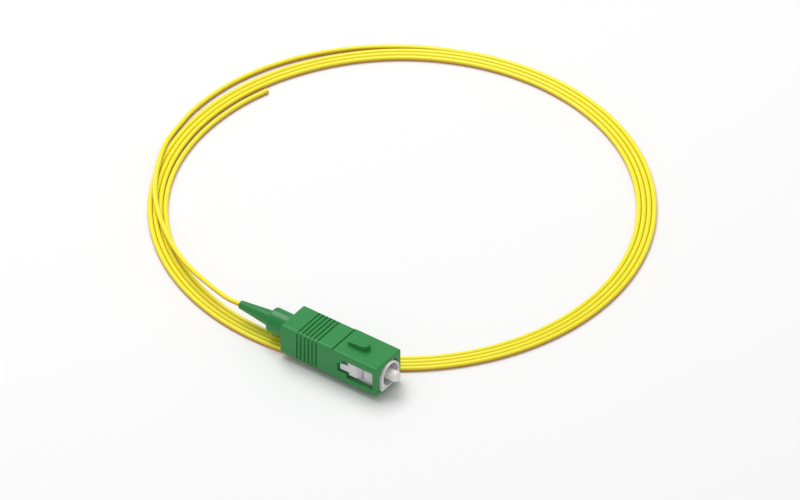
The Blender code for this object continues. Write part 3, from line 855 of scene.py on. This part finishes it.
@dataclass
class GripSleeve:
    """The green sleeve that is pushed and pulled, with its key, ribs and windows."""

    finish: MouldedPlastic = GRIP_GREEN
    front_edge: float = 0.5
    rear_edge: float = 0.85
    edge_blend: float = 0.3
    end_round: float = 0.3
    bore_half: float = 3.47
    bore_top: float = 3.05
    bore_low: float = -3.2
    bore_shoulder: float = 2.95
    bore_corner: float = 0.4
    rear_reach: float = 3.47
    rear_height: float = 3.25
    rear_corner: float = 2.4
    rear_bore_end: float = -16.7
    mouth_lip: float = 0.12
    groove_count: int = 6
    groove_pitch: float = 1.01
    groove_width: float = 0.46
    groove_depth: float = 0.32
    groove_margin: float = 4.48
    groove_lip: float = 0.07
    groove_floor: float = 0.09
    groove_end: float = 0.9
    top_groove_span: float = 7.75
    side_groove_drop: float = 0.12
    line_setback: float = 11.75
    line_width: float = 0.34
    key_setback: float = 5.1
    key_length: float = 4.9
    key_width: float = 2.3
    key_rear_height: float = 1.0
    key_front_height: float = 1.5
    key_round: float = 0.22
    key_foot: float = 0.1
    key_root: float = 0.3
    key_foot_curve: Point = (0.3, 0.5)
    key_corner: float = 0.2
    key_nose_flat: float = 0.05
    window_front: float = -1.1
    window_step: float = -7.95
    window_rear: float = -10.3
    window_top: float = 2.05
    window_shallow: float = -1.3
    window_deep: float = -2.35
    tab_front: float = -9.0
    tab_low: float = 0.95
    window_corner: float = 0.22
    window_lip: float = 0.14
    window_reach: float = 1.0
    length: float = field(init=False)
    half_width: float = field(init=False)
    half_height: float = field(init=False)

    def __post_init__(self) -> None:
        """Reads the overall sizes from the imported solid."""
        low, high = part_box("outer_housing")
        self.length = (high.x - low.x) / MM
        self.half_width = (high.y - low.y) / 2 / MM
        self.half_height = (DATUM.front.z - low.z) / MM

    def section(self, edge: float, inset: float = 0.0) -> Outline:
        """The sleeve's outer section.

        Args:
            edge: The rounding of its corners.
            inset: How far it is drawn in.

        Returns:
            The outline in y and z.
        """
        wide, high = self.half_width, self.half_height
        return rounded_polygon(rectangle((-wide, -high), (wide, high), edge), -inset, 8)

    def shell(self) -> bpy.types.Object:
        """The solid block, with rounded edges all round.

        Returns:
            The block.
        """
        line = -self.line_setback
        ends = lip(self.end_round)
        rear, front = self.rear_edge, self.front_edge
        stations = [(depth - self.length, self.section(rear, inset)) for depth, inset in ends[::-1]]
        stations += [(line - self.edge_blend, self.section(rear)), (line, self.section(front))]
        stations += [(-depth, self.section(front, inset)) for depth, inset in ends]
        return loft("grip_sleeve", Along.X, stations)

    def bore(self) -> bpy.types.Object:
        """The hollow, wider behind, with rounded mouths.

        Returns:
            The shape that is cut away.
        """
        half, reach, high = self.bore_half, self.rear_reach, self.rear_height
        radii = (self.bore_corner, self.bore_corner, self.bore_shoulder, self.bore_shoulder)
        front = rectangle((-half, self.bore_low), (half, self.bore_top), *radii)
        rear = rectangle((-reach, -high), (reach, high), self.rear_corner)
        lips = lip(self.mouth_lip)
        stations = [(-self.length - PAST, rounded_polygon(rear, self.mouth_lip))]
        stations += [(depth - self.length, rounded_polygon(rear, offset)) for depth, offset in lips[::-1]]
        stations += [(self.rear_bore_end, rounded_polygon(corners)) for corners in (rear, front)]
        stations += [(-depth, rounded_polygon(front, offset)) for depth, offset in lips]
        stations += [(PAST, rounded_polygon(front, self.mouth_lip))]
        return loft("bore", Along.X, stations)

    def window(self, side: int) -> bpy.types.Object:
        """The stepped window in one side, with its tab, rounded corners and a softened rim.

        Args:
            side: -1 for the near side, 1 for the far side.

        Returns:
            The shape that is cut away.
        """
        corners = [(x, z, self.window_corner) for x, z in (
            (self.window_rear, self.window_shallow),
            (self.window_step, self.window_shallow),
            (self.window_step, self.window_deep),
            (self.window_front, self.window_deep),
            (self.window_front, self.window_top),
            (self.tab_front, self.window_top),
            (self.tab_front, self.tab_low),
            (self.window_rear, self.tab_low),
        )]
        stations = [(side * (self.bore_half - self.window_reach), rounded_polygon(corners))]
        for depth, offset in lip(self.window_lip) + [(-PAST, self.window_lip)]:
            stations.append((side * (self.half_width - depth), rounded_polygon(corners, offset)))
        return loft("window", Along.Y, stations)

    def slot(self, along: Along, face: float, way: int, low: float, high: float) -> bpy.types.Object:
        """One groove, with a round bottom and softened lips.

        Args:
            along: The axis that the face looks along.
            face: Where the face is on that axis.
            way: 1 or -1, the way that the face looks.
            low: The groove's lower end on the face.
            high: Its upper end.

        Returns:
            The shape that is cut away, at the place of the first groove.
        """
        start = self.groove_margin - self.length
        half = self.groove_width / 2
        corners = rectangle((start - half, low), (start + half, high), half * self.groove_end)
        levels = [(self.groove_depth - rise, -inset) for rise, inset in lip(self.groove_floor)[::-1]]
        levels += lip(self.groove_lip) + [(-PAST, self.groove_lip)]
        stations = [(face - way * depth, rounded_polygon(corners, offset, 4)) for depth, offset in levels]
        return loft("groove", along, stations)

    def key(self) -> bpy.types.Object:
        """The key bar on top, with a round nose, a sloping top and soft edges.

        Returns:
            The bar, in its place.
        """
        tip = -self.key_setback
        rear = tip - self.key_length
        half, foot = self.key_width / 2, self.key_foot
        nose = half - self.key_nose_flat
        radii = (self.key_corner, nose, nose, self.key_corner)
        corners = rectangle((rear, -half), (tip, half), *radii)
        rise, spread = self.key_foot_curve
        levels = [(-self.key_root, 0.0), (0.0, foot), (rise * foot, spread * foot), (foot, 0.0)]
        levels += [(self.key_front_height - depth, -inset) for depth, inset in lip(self.key_round)]
        stations = [(level, rounded_polygon(corners, offset, 8)) for level, offset in levels]
        bar = loft("key", Along.Z, stations)
        slope = (self.key_front_height - self.key_rear_height) / self.key_length
        for vertex in bar.data.vertices:
            share = max(vertex.co.z, 0.0) / self.key_front_height
            vertex.co.z += self.half_height - share * slope * (tip - vertex.co.x)
        return bar

    def line(self) -> bpy.types.Object:
        """The single groove across the top, ahead of the ribs.

        Returns:
            The shape that is cut away.
        """
        middle, half, wide = -self.line_setback, self.line_width / 2, self.half_width + PAST
        corners = rectangle((middle - half, -wide), (middle + half, wide), SHARP)
        levels = [(self.groove_depth, 0.0)] + lip(self.groove_lip) + [(-PAST, self.groove_lip)]
        top = self.half_height
        stations = [(top - depth, rounded_polygon(corners, offset, 1)) for depth, offset in levels]
        return loft("line", Along.Z, stations)

    def build(self) -> None:
        """Shapes and dresses the sleeve."""
        grip = combine(self.shell(), self.key(), Join.ADD)
        cutters = [self.bore(), self.window(-1), self.window(1), self.line()]
        reach = self.top_groove_span / 2
        groove = self.slot(Along.Z, self.half_height, 1, -reach, reach)
        cutters.append(row_of(groove, self.groove_count, self.groove_pitch))
        top = self.half_height - self.side_groove_drop
        for side in (-1, 1):
            groove = self.slot(Along.Y, side * self.half_width, side, -self.half_height - PAST, top)
            cutters.append(row_of(groove, self.groove_count, self.groove_pitch))
        for cutter in cutters:
            grip = combine(grip, cutter, Join.CUT)
        grip = DATUM.seat(polish(grip))
        dress(grip, self.finish.material(), Body.SLEEVE)
        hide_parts("outer_housing")


@dataclass
class PlugFrame:
    """The off-white plug frame: a D-section tube with a latch boss on each side."""

    finish: MouldedPlastic = FRAME_WHITE
    front: float = 0.6
    length: float = 17.0
    half_width: float = 3.17
    top: float = 2.95
    low: float = -2.9
    low_corner: float = 0.18
    front_round: float = 0.12
    mouth_radius: float = 2.6
    mouth_depth: float = 8.0
    mouth_lip: float = 0.1
    shoulder: float = 0.9
    shoulder_bore: float = 1.6
    chamber_radius: float = 2.5
    least_corner: float = 0.05
    boss_rear: float = -10.0
    boss_low_rear: float = -7.65
    boss_front: float = -4.8
    boss_ramp: float = 0.9
    boss_height: float = 0.75
    boss_top: float = 1.75
    boss_bottom: float = -1.0
    boss_low: float = -1.65
    boss_soft: float = 0.07
    boss_step: float = 0.03
    boss_top_step: float = 0.08
    boss_root: float = 0.3
    boss_toe: float = 0.02
    beyond: float = 0.4
    slot_width: float = 0.72
    slot_depth: float = 0.45
    notch_length: float = 2.1
    notch_height: float = 1.1
    notch_depth: float = 1.1
    notch_run: float = 0.3

    def section(self, inset: float) -> Outline:
        """The D-shaped section, drawn in by an inset.

        Args:
            inset: How far it is drawn in.

        Returns:
            The outline in y and z.
        """
        half, top, low = self.half_width - inset, self.top - inset, self.low + inset
        corner = max(self.low_corner - inset, self.least_corner)
        steps = 32
        points = arc((half - corner, low + corner), corner, -90, 0, 4)
        turns = [math.pi * i / steps for i in range(steps + 1)]
        points += [(half * math.cos(a), top * math.sin(a)) for a in turns]
        return points + arc((corner - half, low + corner), corner, 180, 270, 4)

    def boss(self, side: int) -> list[bpy.types.Object]:
        """The latch boss of one side, in two steps.

        Args:
            side: -1 for the near side, 1 for the far side.

        Returns:
            The two prisms that are added.
        """
        inside = self.half_width - self.boss_root
        prisms = []
        for rear, low, top, drawn_in in (
            (self.boss_rear, self.boss_bottom, self.boss_top, 0.0),
            (self.boss_low_rear, self.boss_low, self.boss_top - self.boss_top_step, self.boss_step),
        ):
            outside = self.half_width + self.boss_height - drawn_in
            plan = [
                (rear, side * inside),
                (self.boss_front - drawn_in, side * inside),
                (self.boss_front - drawn_in, side * (self.half_width + self.boss_toe)),
                (self.boss_front - self.boss_ramp - drawn_in, side * outside),
                (rear, side * outside),
            ]
            prisms.append(soften(loft("boss", Along.Z, [(low, plan), (top, plan)]), self.boss_soft))
        return prisms

    def relief(self, side: int) -> list[bpy.types.Object]:
        """The slot ahead of a boss and the notch in its top.

        Args:
            side: -1 for the near side, 1 for the far side.

        Returns:
            The shapes that are cut away.
        """
        past = self.half_width + self.boss_height + self.beyond
        ends = sorted((side * (self.half_width - self.slot_depth), side * past))
        low = (self.boss_front, ends[0], self.boss_low)
        slot = box("slot", low, (self.boss_front + self.slot_width, ends[1], self.boss_top))
        ends = sorted((side * (past - self.beyond - self.notch_depth), side * past))
        low = (self.boss_rear - self.notch_run, ends[0], self.boss_top - self.notch_height)
        high = (self.boss_rear + self.notch_length, ends[1], self.boss_top + self.beyond)
        notch = box("notch", low, high)
        return [slot, notch]

    def hollow(self) -> bpy.types.Object:
        """The mouth, the shoulder's hole and the spring's chamber, as one turned shape.

        Returns:
            The shape that is cut away.
        """
        shoulder_front = self.front - self.mouth_depth
        shoulder_rear = shoulder_front - self.shoulder
        rear = self.front - self.length
        profile: Outline = [(rear - PAST, 0.0), (rear - PAST, self.chamber_radius)]
        profile += [(shoulder_rear, self.chamber_radius), (shoulder_rear, self.shoulder_bore)]
        profile += [(shoulder_front, self.shoulder_bore), (shoulder_front, self.mouth_radius)]
        profile += [(self.front - depth, self.mouth_radius + offset) for depth, offset in lip(self.mouth_lip)]
        profile += [(self.front + PAST, self.mouth_radius + self.mouth_lip), (self.front + PAST, 0.0)]
        return turn("hollow", profile)

    def build(self) -> None:
        """Shapes and dresses the frame."""
        rear = self.front - self.length
        stations = [(rear, self.section(0.0))]
        stations += [(self.front - depth, self.section(offset)) for depth, offset in lip(self.front_round)]
        body = loft("plug_frame", Along.X, stations)
        for side in (-1, 1):
            for prism in self.boss(side):
                body = combine(body, prism, Join.ADD)
            for shape in self.relief(side):
                body = combine(body, shape, Join.CUT)
        body = combine(body, self.hollow(), Join.CUT)
        body = DATUM.seat(polish(body))
        dress(body, self.finish.material(), Body.PLUG)
        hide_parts("inner_frame")


@dataclass
class Ferrule:
    """The ceramic ferrule with its angled, chamfered end."""

    finish: GroundCeramic = FERRULE_WHITE
    tip: float = 2.6
    radius: float = 1.25
    tip_radius: float = 1.0
    chamfer: float = 0.45
    ease: float = 0.02
    ease_curve: tuple[Point, ...] = ((3.0, 2.5), (1.0, 0.75), (-2.0, 0.0))
    rear_ease: float = 0.1
    crease: float = 20.0
    angle: float = 8.0

    def build(self) -> None:
        """Shapes and dresses the ferrule."""
        low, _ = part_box("ferrule")
        rear = (low.x - DATUM.front.x) / MM
        lean = self.tip_radius * math.tan(math.radians(self.angle))
        slope = (self.radius - self.tip_radius) / self.chamfer
        nose = self.tip + lean
        shoulder = self.tip - lean - self.chamfer
        profile: Outline = [(nose, 0.0), (nose, self.tip_radius - 2 * slope * lean)]
        for along, inward in self.ease_curve:
            profile.append((shoulder + along * self.ease, self.radius - inward * self.ease))
        profile += [(rear + self.rear_ease, self.radius), (rear, self.radius - self.rear_ease), (rear, 0.0)]
        ferrule = turn("ferrule_tip", profile)
        way = Vector((math.cos(math.radians(self.angle)), -math.sin(math.radians(self.angle)), 0.0))
        with shaping(ferrule) as bm:
            everything = bm.verts[:] + bm.edges[:] + bm.faces[:]
            plane = {"plane_co": (self.tip - lean, 0.0, 0.0), "plane_no": way, "clear_outer": True}
            cut = bmesh.ops.bisect_plane(bm, geom=everything, **plane)
            rim = [item for item in cut["geom_cut"] if isinstance(item, bmesh.types.BMEdge)]
            bmesh.ops.holes_fill(bm, edges=rim, sides=0)
            bmesh.ops.recalc_face_normals(bm, faces=bm.faces)
        ferrule = DATUM.seat(polish(ferrule, self.crease))
        dress(ferrule, self.finish.material(), Body.FERRULE)
        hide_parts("ferrule")


@dataclass
class TailBoot:
    """The green tail boot: a round collar and a long taper for the cord."""

    finish: MouldedPlastic = BOOT_GREEN
    collar_radius: float = 2.9
    collar_rear: float = -30.45
    cone_radius: float = 1.85
    tip_radius: float = 0.95
    fillet: float = 0.6
    edge: float = 0.32
    bore: float = 0.75
    stub_bore: float = 2.2
    floor: float = -28.9
    nose_round: float = 0.22
    nose_ease: float = 0.12
    nose_flare: float = 0.08
    least_wall: float = 0.1
    front_ease: float = 0.15

    def build(self) -> None:
        """Shapes and dresses the boot."""
        low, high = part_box("boot")
        tip = (low.x - DATUM.front.x) / MM
        front = (high.x - DATUM.front.x) / MM
        slope = (self.cone_radius - self.tip_radius) / (self.collar_rear - tip)
        start = self.cone_radius - slope * self.fillet
        round_in = arc((self.collar_rear - self.fillet, start + self.fillet), self.fillet, -85, -5, 8)
        shoulder = arc((self.collar_rear + self.edge, self.collar_radius - self.edge), self.edge, 180, 90, 6)
        nose = arc((tip + self.nose_round, self.tip_radius - self.nose_round), self.nose_round, 180, 95, 5)
        profile: Outline = [(tip + self.nose_ease, self.bore), (tip, self.bore + self.nose_flare)]
        profile += [(x, max(r, self.bore + self.least_wall)) for x, r in nose]
        profile += round_in + shoulder
        ease = self.front_ease
        profile += [(front - ease, self.collar_radius), (front, self.collar_radius - ease)]
        profile += [(front, self.stub_bore), (self.floor, self.stub_bore), (self.floor, self.bore)]
        boot = DATUM.seat(polish(turn("tail_boot", profile)))
        dress(boot, self.finish.material(), Body.PLUG)
        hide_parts("boot")


@dataclass
class Internals:
    """What is inside the plug: the ferrule's collar, the spring and the stop ring."""

    metal: TurnedMetal = NICKEL
    wire: TurnedMetal = SPRING_STEEL
    wire_radius: float = 0.2
    wire_sides: int = 12
    turns: float = 4.5
    travel: float = 1.0

    def spring(self) -> None:
        """The spring's helix, as long as the imported spring."""
        low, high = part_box("spring")
        length = (high.x - low.x) / MM - 2 * self.wire_radius
        radius = (high.y - low.y) / 2 / MM - self.wire_radius
        inputs = {
            "Wire radius": ("NodeSocketFloat", self.wire_radius),
            "Wire sides": ("NodeSocketInt", self.wire_sides),
            "Coil radius": ("NodeSocketFloat", radius),
            "Length": ("NodeSocketFloat", length),
            "Turns": ("NodeSocketFloat", self.turns),
        }
        tree = GeometryTree("spring_helix", inputs)
        coil = {
            "Resolution": 40,
            "Rotations": tree.given("Turns"),
            "Start Radius": tree.given("Coil radius"),
            "End Radius": tree.given("Coil radius"),
            "Height": tree.given("Length"),
        }
        helix = tree.make("GeometryNodeCurveSpiral", {}, coil)
        wire = tree.smooth(tree.tube(helix, tree.circle("Wire sides", "Wire radius")))
        finish = self.wire.material()
        spring = tree.run(scene_object("spring_wire"), wire, finish)
        start = (low.x - DATUM.front.x) / MM + self.wire_radius
        spring.data.transform(Matrix.Translation((start, 0, 0)) @ Matrix.Rotation(math.pi / 2, 4, "Y"))
        DATUM.seat(spring)
        dress(spring, finish, Body.PLUG)
        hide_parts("spring")
        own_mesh(spring)

    def build(self) -> None:
        """Makes the spring and dresses the metal parts that stay as they are packed."""
        self.spring()
        metal = self.metal.material()
        for name in ("ferrule_flange", "back_body"):
            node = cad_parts[name]
            node.data.materials.clear()
            node.data.materials.append(metal)


@dataclass
class Cord:
    """The yellow cord: from the boot, over the coil, round it and through its turns to the cut end."""

    finish: CordJacket = CORD_YELLOW
    core: MouldedPlastic = FIBRE_COAT
    diameter: float = 1.1
    strand_gap: float = 0.01
    turns: int = 4
    outer_radius: float = 54.34
    inside_boot: float = 4.0
    past_boot: float = 1.2
    droop: float = 0.01
    ease_start: float = 50.0
    ease_end: float = 130.0
    handover: float = 160.0
    first_step: float = 2.0
    turn_step: float = 8.0
    spacing: float = 1.4
    sides: int = 24
    crease: float = 60.0
    core_diameter: float = 0.25
    core_root: float = 0.5
    core_rim: float = 0.012
    core_face: float = 0.02
    core_bevel: float = 0.01
    core_crease: float = 40.0
    lying: float = 0.551
    lead: tuple[Corner, ...] = (
        (9.6, 51.44, 4.99), (12.4, 51.36, 4.86), (18.3, 51.08, 4.4), (25.3, 51.03, 3.74),
        (31.8, 51.08, 3.1), (37.9, 51.16, 2.52), (43.0, 51.35, 2.08), (48.7, 51.83, 1.78),
        (54.2, 52.45, 1.67), (59.5, 52.97, 1.655), (64.5, 53.38, 1.655), (69.0, 53.75, 1.655),
        (73.5, 54.2, 1.56), (77.0, 54.6, 1.22), (80.5, 54.85, 0.8), (84.5, 55.02, 0.57), (90.0, 55.33, 0.552),
    )
    landed: tuple[Point, ...] = (
        (97.0, 55.43), (104.0, 55.46), (112.0, 55.32), (120.0, 55.07), (128.0, 54.75), (136.0, 54.4),
        (144.0, 54.07), (152.0, 53.85),
    )
    tail: tuple[Point, ...] = (
        (56.0, 50.42), (64.0, 50.25), (72.0, 50.0), (80.0, 49.7), (88.0, 49.4), (96.0, 49.12), (102.0, 48.93),
        (107.8, 48.75),
    )

    def point(self, sweep: float, radius: float, height: float) -> Vector:
        """The point in the frame at an angle in degrees, a radius and a height round the coil."""
        angle = math.radians(sweep)
        return DATUM.coil + Vector((-radius * math.sin(angle), -radius * math.cos(angle), height)) * MM

    def turn_radius(self, number: int, sweep: float) -> float:
        """How far out a turn lies. All but the last ease inwards to their next.

        Args:
            number: The turn, from 0 at the outside.
            sweep: The angle within the turn, in degrees, up to a turn past its start.

        Returns:
            The radius.
        """
        pitch = self.diameter + self.strand_gap
        slot = self.outer_radius - self.diameter / 2 - number * pitch
        if number == self.turns - 1:
            return slot
        share = min(max((sweep - self.ease_start) / (self.ease_end - self.ease_start), 0.0), 1.0)
        return slot - share * share * (3 - 2 * share) * pitch

    def route(self) -> list[Vector]:
        """The points that the cord's line goes through.

        Returns:
            The points, from inside the boot to the cut end.
        """
        tip_low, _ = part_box("boot")
        axis = DATUM.front
        inside = [share * self.inside_boot * MM for share in (1.0, 0.5, 0.0)]
        points = [Vector((tip_low.x + depth, axis.y, axis.z)) for depth in inside]
        points.append(Vector((tip_low.x - self.past_boot * MM, axis.y, axis.z - self.droop * MM)))
        points += [self.point(*row) for row in self.lead]
        points += [self.point(*row, self.lying) for row in self.landed]
        for number in range(self.turns):
            first = self.handover + (self.turn_step if number else self.first_step)
            last = 360.0 + (self.handover if number < self.turns - 1 else self.tail[0][0] - self.turn_step)
            steps = round((last - first) / self.turn_step)
            for i in range(steps + 1):
                sweep = first + (last - first) * i / steps
                radius = self.turn_radius(number, sweep - 360.0)
                points.append(self.point(sweep, radius, self.lying))
        return points + [self.point(*row, self.lying) for row in self.tail]

    def line(self) -> list[Vector]:
        """Evenly spaced points on the smooth curve through the route.

        Returns:
            The points.
        """
        route = self.route()
        ends = [2 * route[0] - route[1]] + route + [2 * route[-1] - route[-2]]
        fine: list[Vector] = []
        pieces = 24
        for before, start, end, after in zip(ends, ends[1:], ends[2:], ends[3:]):
            for i in range(pieces):
                t = i / pieces
                square = 2 * before - 5 * start + 4 * end - after
                cube = 3 * start - before - 3 * end + after
                fine.append((2 * start + (end - before) * t + square * t * t + cube * t ** 3) / 2)
        fine.append(route[-1])
        reach = [0.0]
        for first, second in zip(fine, fine[1:]):
            reach.append(reach[-1] + (second - first).length)
        count = round(reach[-1] / (self.spacing * MM))
        points, k = [], 0
        for i in range(count + 1):
            goal = reach[-1] * i / count
            while k < len(fine) - 2 and reach[k + 1] < goal:
                k += 1
            points.append(fine[k].lerp(fine[k + 1], (goal - reach[k]) / (reach[k + 1] - reach[k])))
        return points

    def sweep(self, name: str, points: list[Vector], finish: bpy.types.Material) -> bpy.types.Object:
        """Runs a round section along a line with Geometry Nodes.

        Args:
            name: The piece's name.
            points: The line's points.
            finish: The material.

        Returns:
            The cord as a plain mesh.
        """
        curve = bpy.data.curves.new(name, "CURVE")
        curve.dimensions = "3D"
        spline = curve.splines.new("POLY")
        spline.points.add(len(points) - 1)
        for spot, place in zip(spline.points, points):
            spot.co = (*place, 1.0)
        holder = scene_object(name, curve)
        radius = self.diameter / 2 * MM
        inputs = {"Radius": ("NodeSocketFloat", radius), "Sides": ("NodeSocketInt", self.sides)}
        tree = GeometryTree(f"{name}_sweep", inputs)
        along = tree.make("GeometryNodeSplineParameter", {}, {}, "Length")
        line = tree.store(tree.given("Geometry"), "along", along)
        spot = tree.make("GeometryNodeInputPosition", {}, {})
        profile = tree.store(tree.circle("Sides", "Radius"), "around", spot, "FLOAT_VECTOR")
        lift = tree.make("ShaderNodeCombineXYZ", {}, {"Z": tree.recall("along")})
        both = {0: tree.recall("around", "FLOAT_VECTOR"), 1: lift}
        straight = tree.make("ShaderNodeVectorMath", {"operation": "ADD"}, both)
        unrolled = tree.store(tree.tube(line, profile), "straight", straight, "FLOAT_VECTOR")
        # Painted shade mask: the upward share of the normal, low where the cord faces sideways or down, where
        # its material paints shade.
        upward = tree.make("ShaderNodeSeparateXYZ", {}, {0: tree.make("GeometryNodeInputNormal", {}, {})}, 2)
        shade_masked = tree.store(unrolled, "painted_light_share", upward)
        return tree.run(holder, tree.smooth(shade_masked), finish)

    def build(self) -> None:
        points = self.line()
        finish = self.finish.material()
        cord = self.sweep("cord", points, finish)
        cord.data.set_sharp_from_angle(angle=math.radians(self.crease))
        dress(cord, finish, Body.PLUG)
        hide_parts("cord_lead", "cord_coil", "cord_tail")
        length = sum((b - a).length for a, b in zip(points, points[1:]))
        core = self.fibre(points[-1], (points[-1] - points[-2]).normalized())
        LOG.info("cord: %.3f m", length)

    def fibre(self, end: Vector, way: Vector) -> bpy.types.Object:
        """The coated fibre, flush in the middle of the cut face.

        Args:
            end: The middle of the cut face.
            way: The way that the face looks.

        Returns:
            The fibre's end.
        """
        radius = self.core_diameter / 2
        profile: Outline = [(-self.core_root, 0.0), (-self.core_root, radius), (self.core_rim, radius)]
        profile += [(self.core_face, radius - self.core_bevel), (self.core_face, 0.0)]
        core = turn("fibre_end", profile, 32)
        tilt = Vector((1, 0, 0)).rotation_difference(way).to_matrix().to_4x4()
        core.data.transform(Matrix.Translation(end) @ tilt @ Matrix.Scale(MM, 4))
        core.data.shade_smooth()
        core.data.set_sharp_from_angle(angle=math.radians(self.core_crease))
        return dress(core, self.core.material(), Body.PLUG)


def direction(azimuth: float, elevation: float) -> Vector:
    """The way to something seen from the part.

    Args:
        azimuth: The angle from its near side, in degrees, towards the connector's front.
        elevation: The angle above the floor, in degrees.

    Returns:
        The way, one long.
    """
    around, up = math.radians(azimuth), math.radians(elevation)
    return Vector((math.sin(around) * math.cos(up), -math.cos(around) * math.cos(up), math.sin(up)))


@dataclass(frozen=True)
class Softbox:
    """An area light that looks at the part."""

    name: str
    azimuth: float
    elevation: float
    distance: float
    width: float
    height: float
    power: float
    colour: Colour = (1.0, 1.0, 1.0)

    def hang(self, target: Vector) -> None:
        """Puts the light in the scene.

        Args:
            target: What it looks at.
        """
        light = bpy.data.lights.new(self.name, "AREA")
        light.shape = "RECTANGLE"
        light.size, light.size_y = self.width, self.height
        light.energy = self.power
        light.color = self.colour
        holder = scene_object(self.name, light)
        way = direction(self.azimuth, self.elevation)
        holder.location = target + way * self.distance
        holder.rotation_euler = (-way).to_track_quat("-Z", "Y").to_euler()


@dataclass
class Studio:
    """The pale floor, the soft light and the camera."""

    azimuth: float = 36.1
    elevation: float = 39.5
    pixels_per_mm: float = 4.69
    front_face_pixel: Point = (388.6, 373.0)
    distance: float = 1.5
    floor_size: float = 4.0
    sky: float = 0.5
    paper: StudioPaper = PAPER
    lights: tuple[Softbox, ...] = (
        Softbox("overhead", 250.0, 72.0, 1.0, 0.7, 0.7, 6.3),
        Softbox("streak", 226.0, 51.0, 1.0, 0.5, 0.05, 0.35),
    )

    def camera(self) -> None:
        """Sets the camera at the photograph's angle, scale and place."""
        back = direction(self.azimuth, self.elevation)
        right = direction(self.azimuth + 90.0, 0.0)
        above = back.cross(right)
        shift = Vector((PICTURE[0] / 2 - self.front_face_pixel[0], self.front_face_pixel[1] - PICTURE[1] / 2))
        shift *= MM / self.pixels_per_mm
        target = DATUM.front + right * shift.x + above * shift.y
        target += back * ((DATUM.coil - target).dot(back))
        data = bpy.data.cameras.new("camera")
        data.type = "ORTHO"
        data.ortho_scale = PICTURE[0] / self.pixels_per_mm * MM
        data.clip_start, data.clip_end = 0.05, 4 * self.distance
        camera = scene_object("camera", data)
        camera.location = target + back * self.distance
        camera.rotation_euler = (-back).to_track_quat("-Z", "Y").to_euler()
        bpy.context.scene.camera = camera

    def build(self) -> None:
        """Lays the floor and hangs the lights."""
        floor = scene_object("floor")
        with shaping(floor) as bm:
            bmesh.ops.create_grid(bm, x_segments=8, y_segments=8, size=self.floor_size / 2)
        floor.data.materials.append(self.paper.material())
        target = Vector((DATUM.coil.x, DATUM.coil.y, 0.0))
        for light in self.lights:
            light.hang(target)
        world = bpy.data.worlds.new("studio")
        world.use_nodes = True
        background = world.node_tree.nodes["Background"]
        background.inputs["Color"].default_value = (1.0, 1.0, 1.0, 1.0)
        background.inputs["Strength"].default_value = self.sky
        bpy.context.scene.world = world
        bpy.context.scene.view_settings.view_transform = "Standard"


def main() -> None:
    """Builds the studio and every sub-assembly."""
    logging.basicConfig(level=logging.INFO, format="%(name)s: %(message)s")
    studio = Studio()
    studio.camera()
    steps: list[Callable[[], None]] = [
        Cord().build,
        GripSleeve().build,
        PlugFrame().build,
        Ferrule().build,
        TailBoot().build,
        Internals().build,
        studio.build,
    ]
    for step in steps:
        step()


if __name__ == "__main__":
    main()
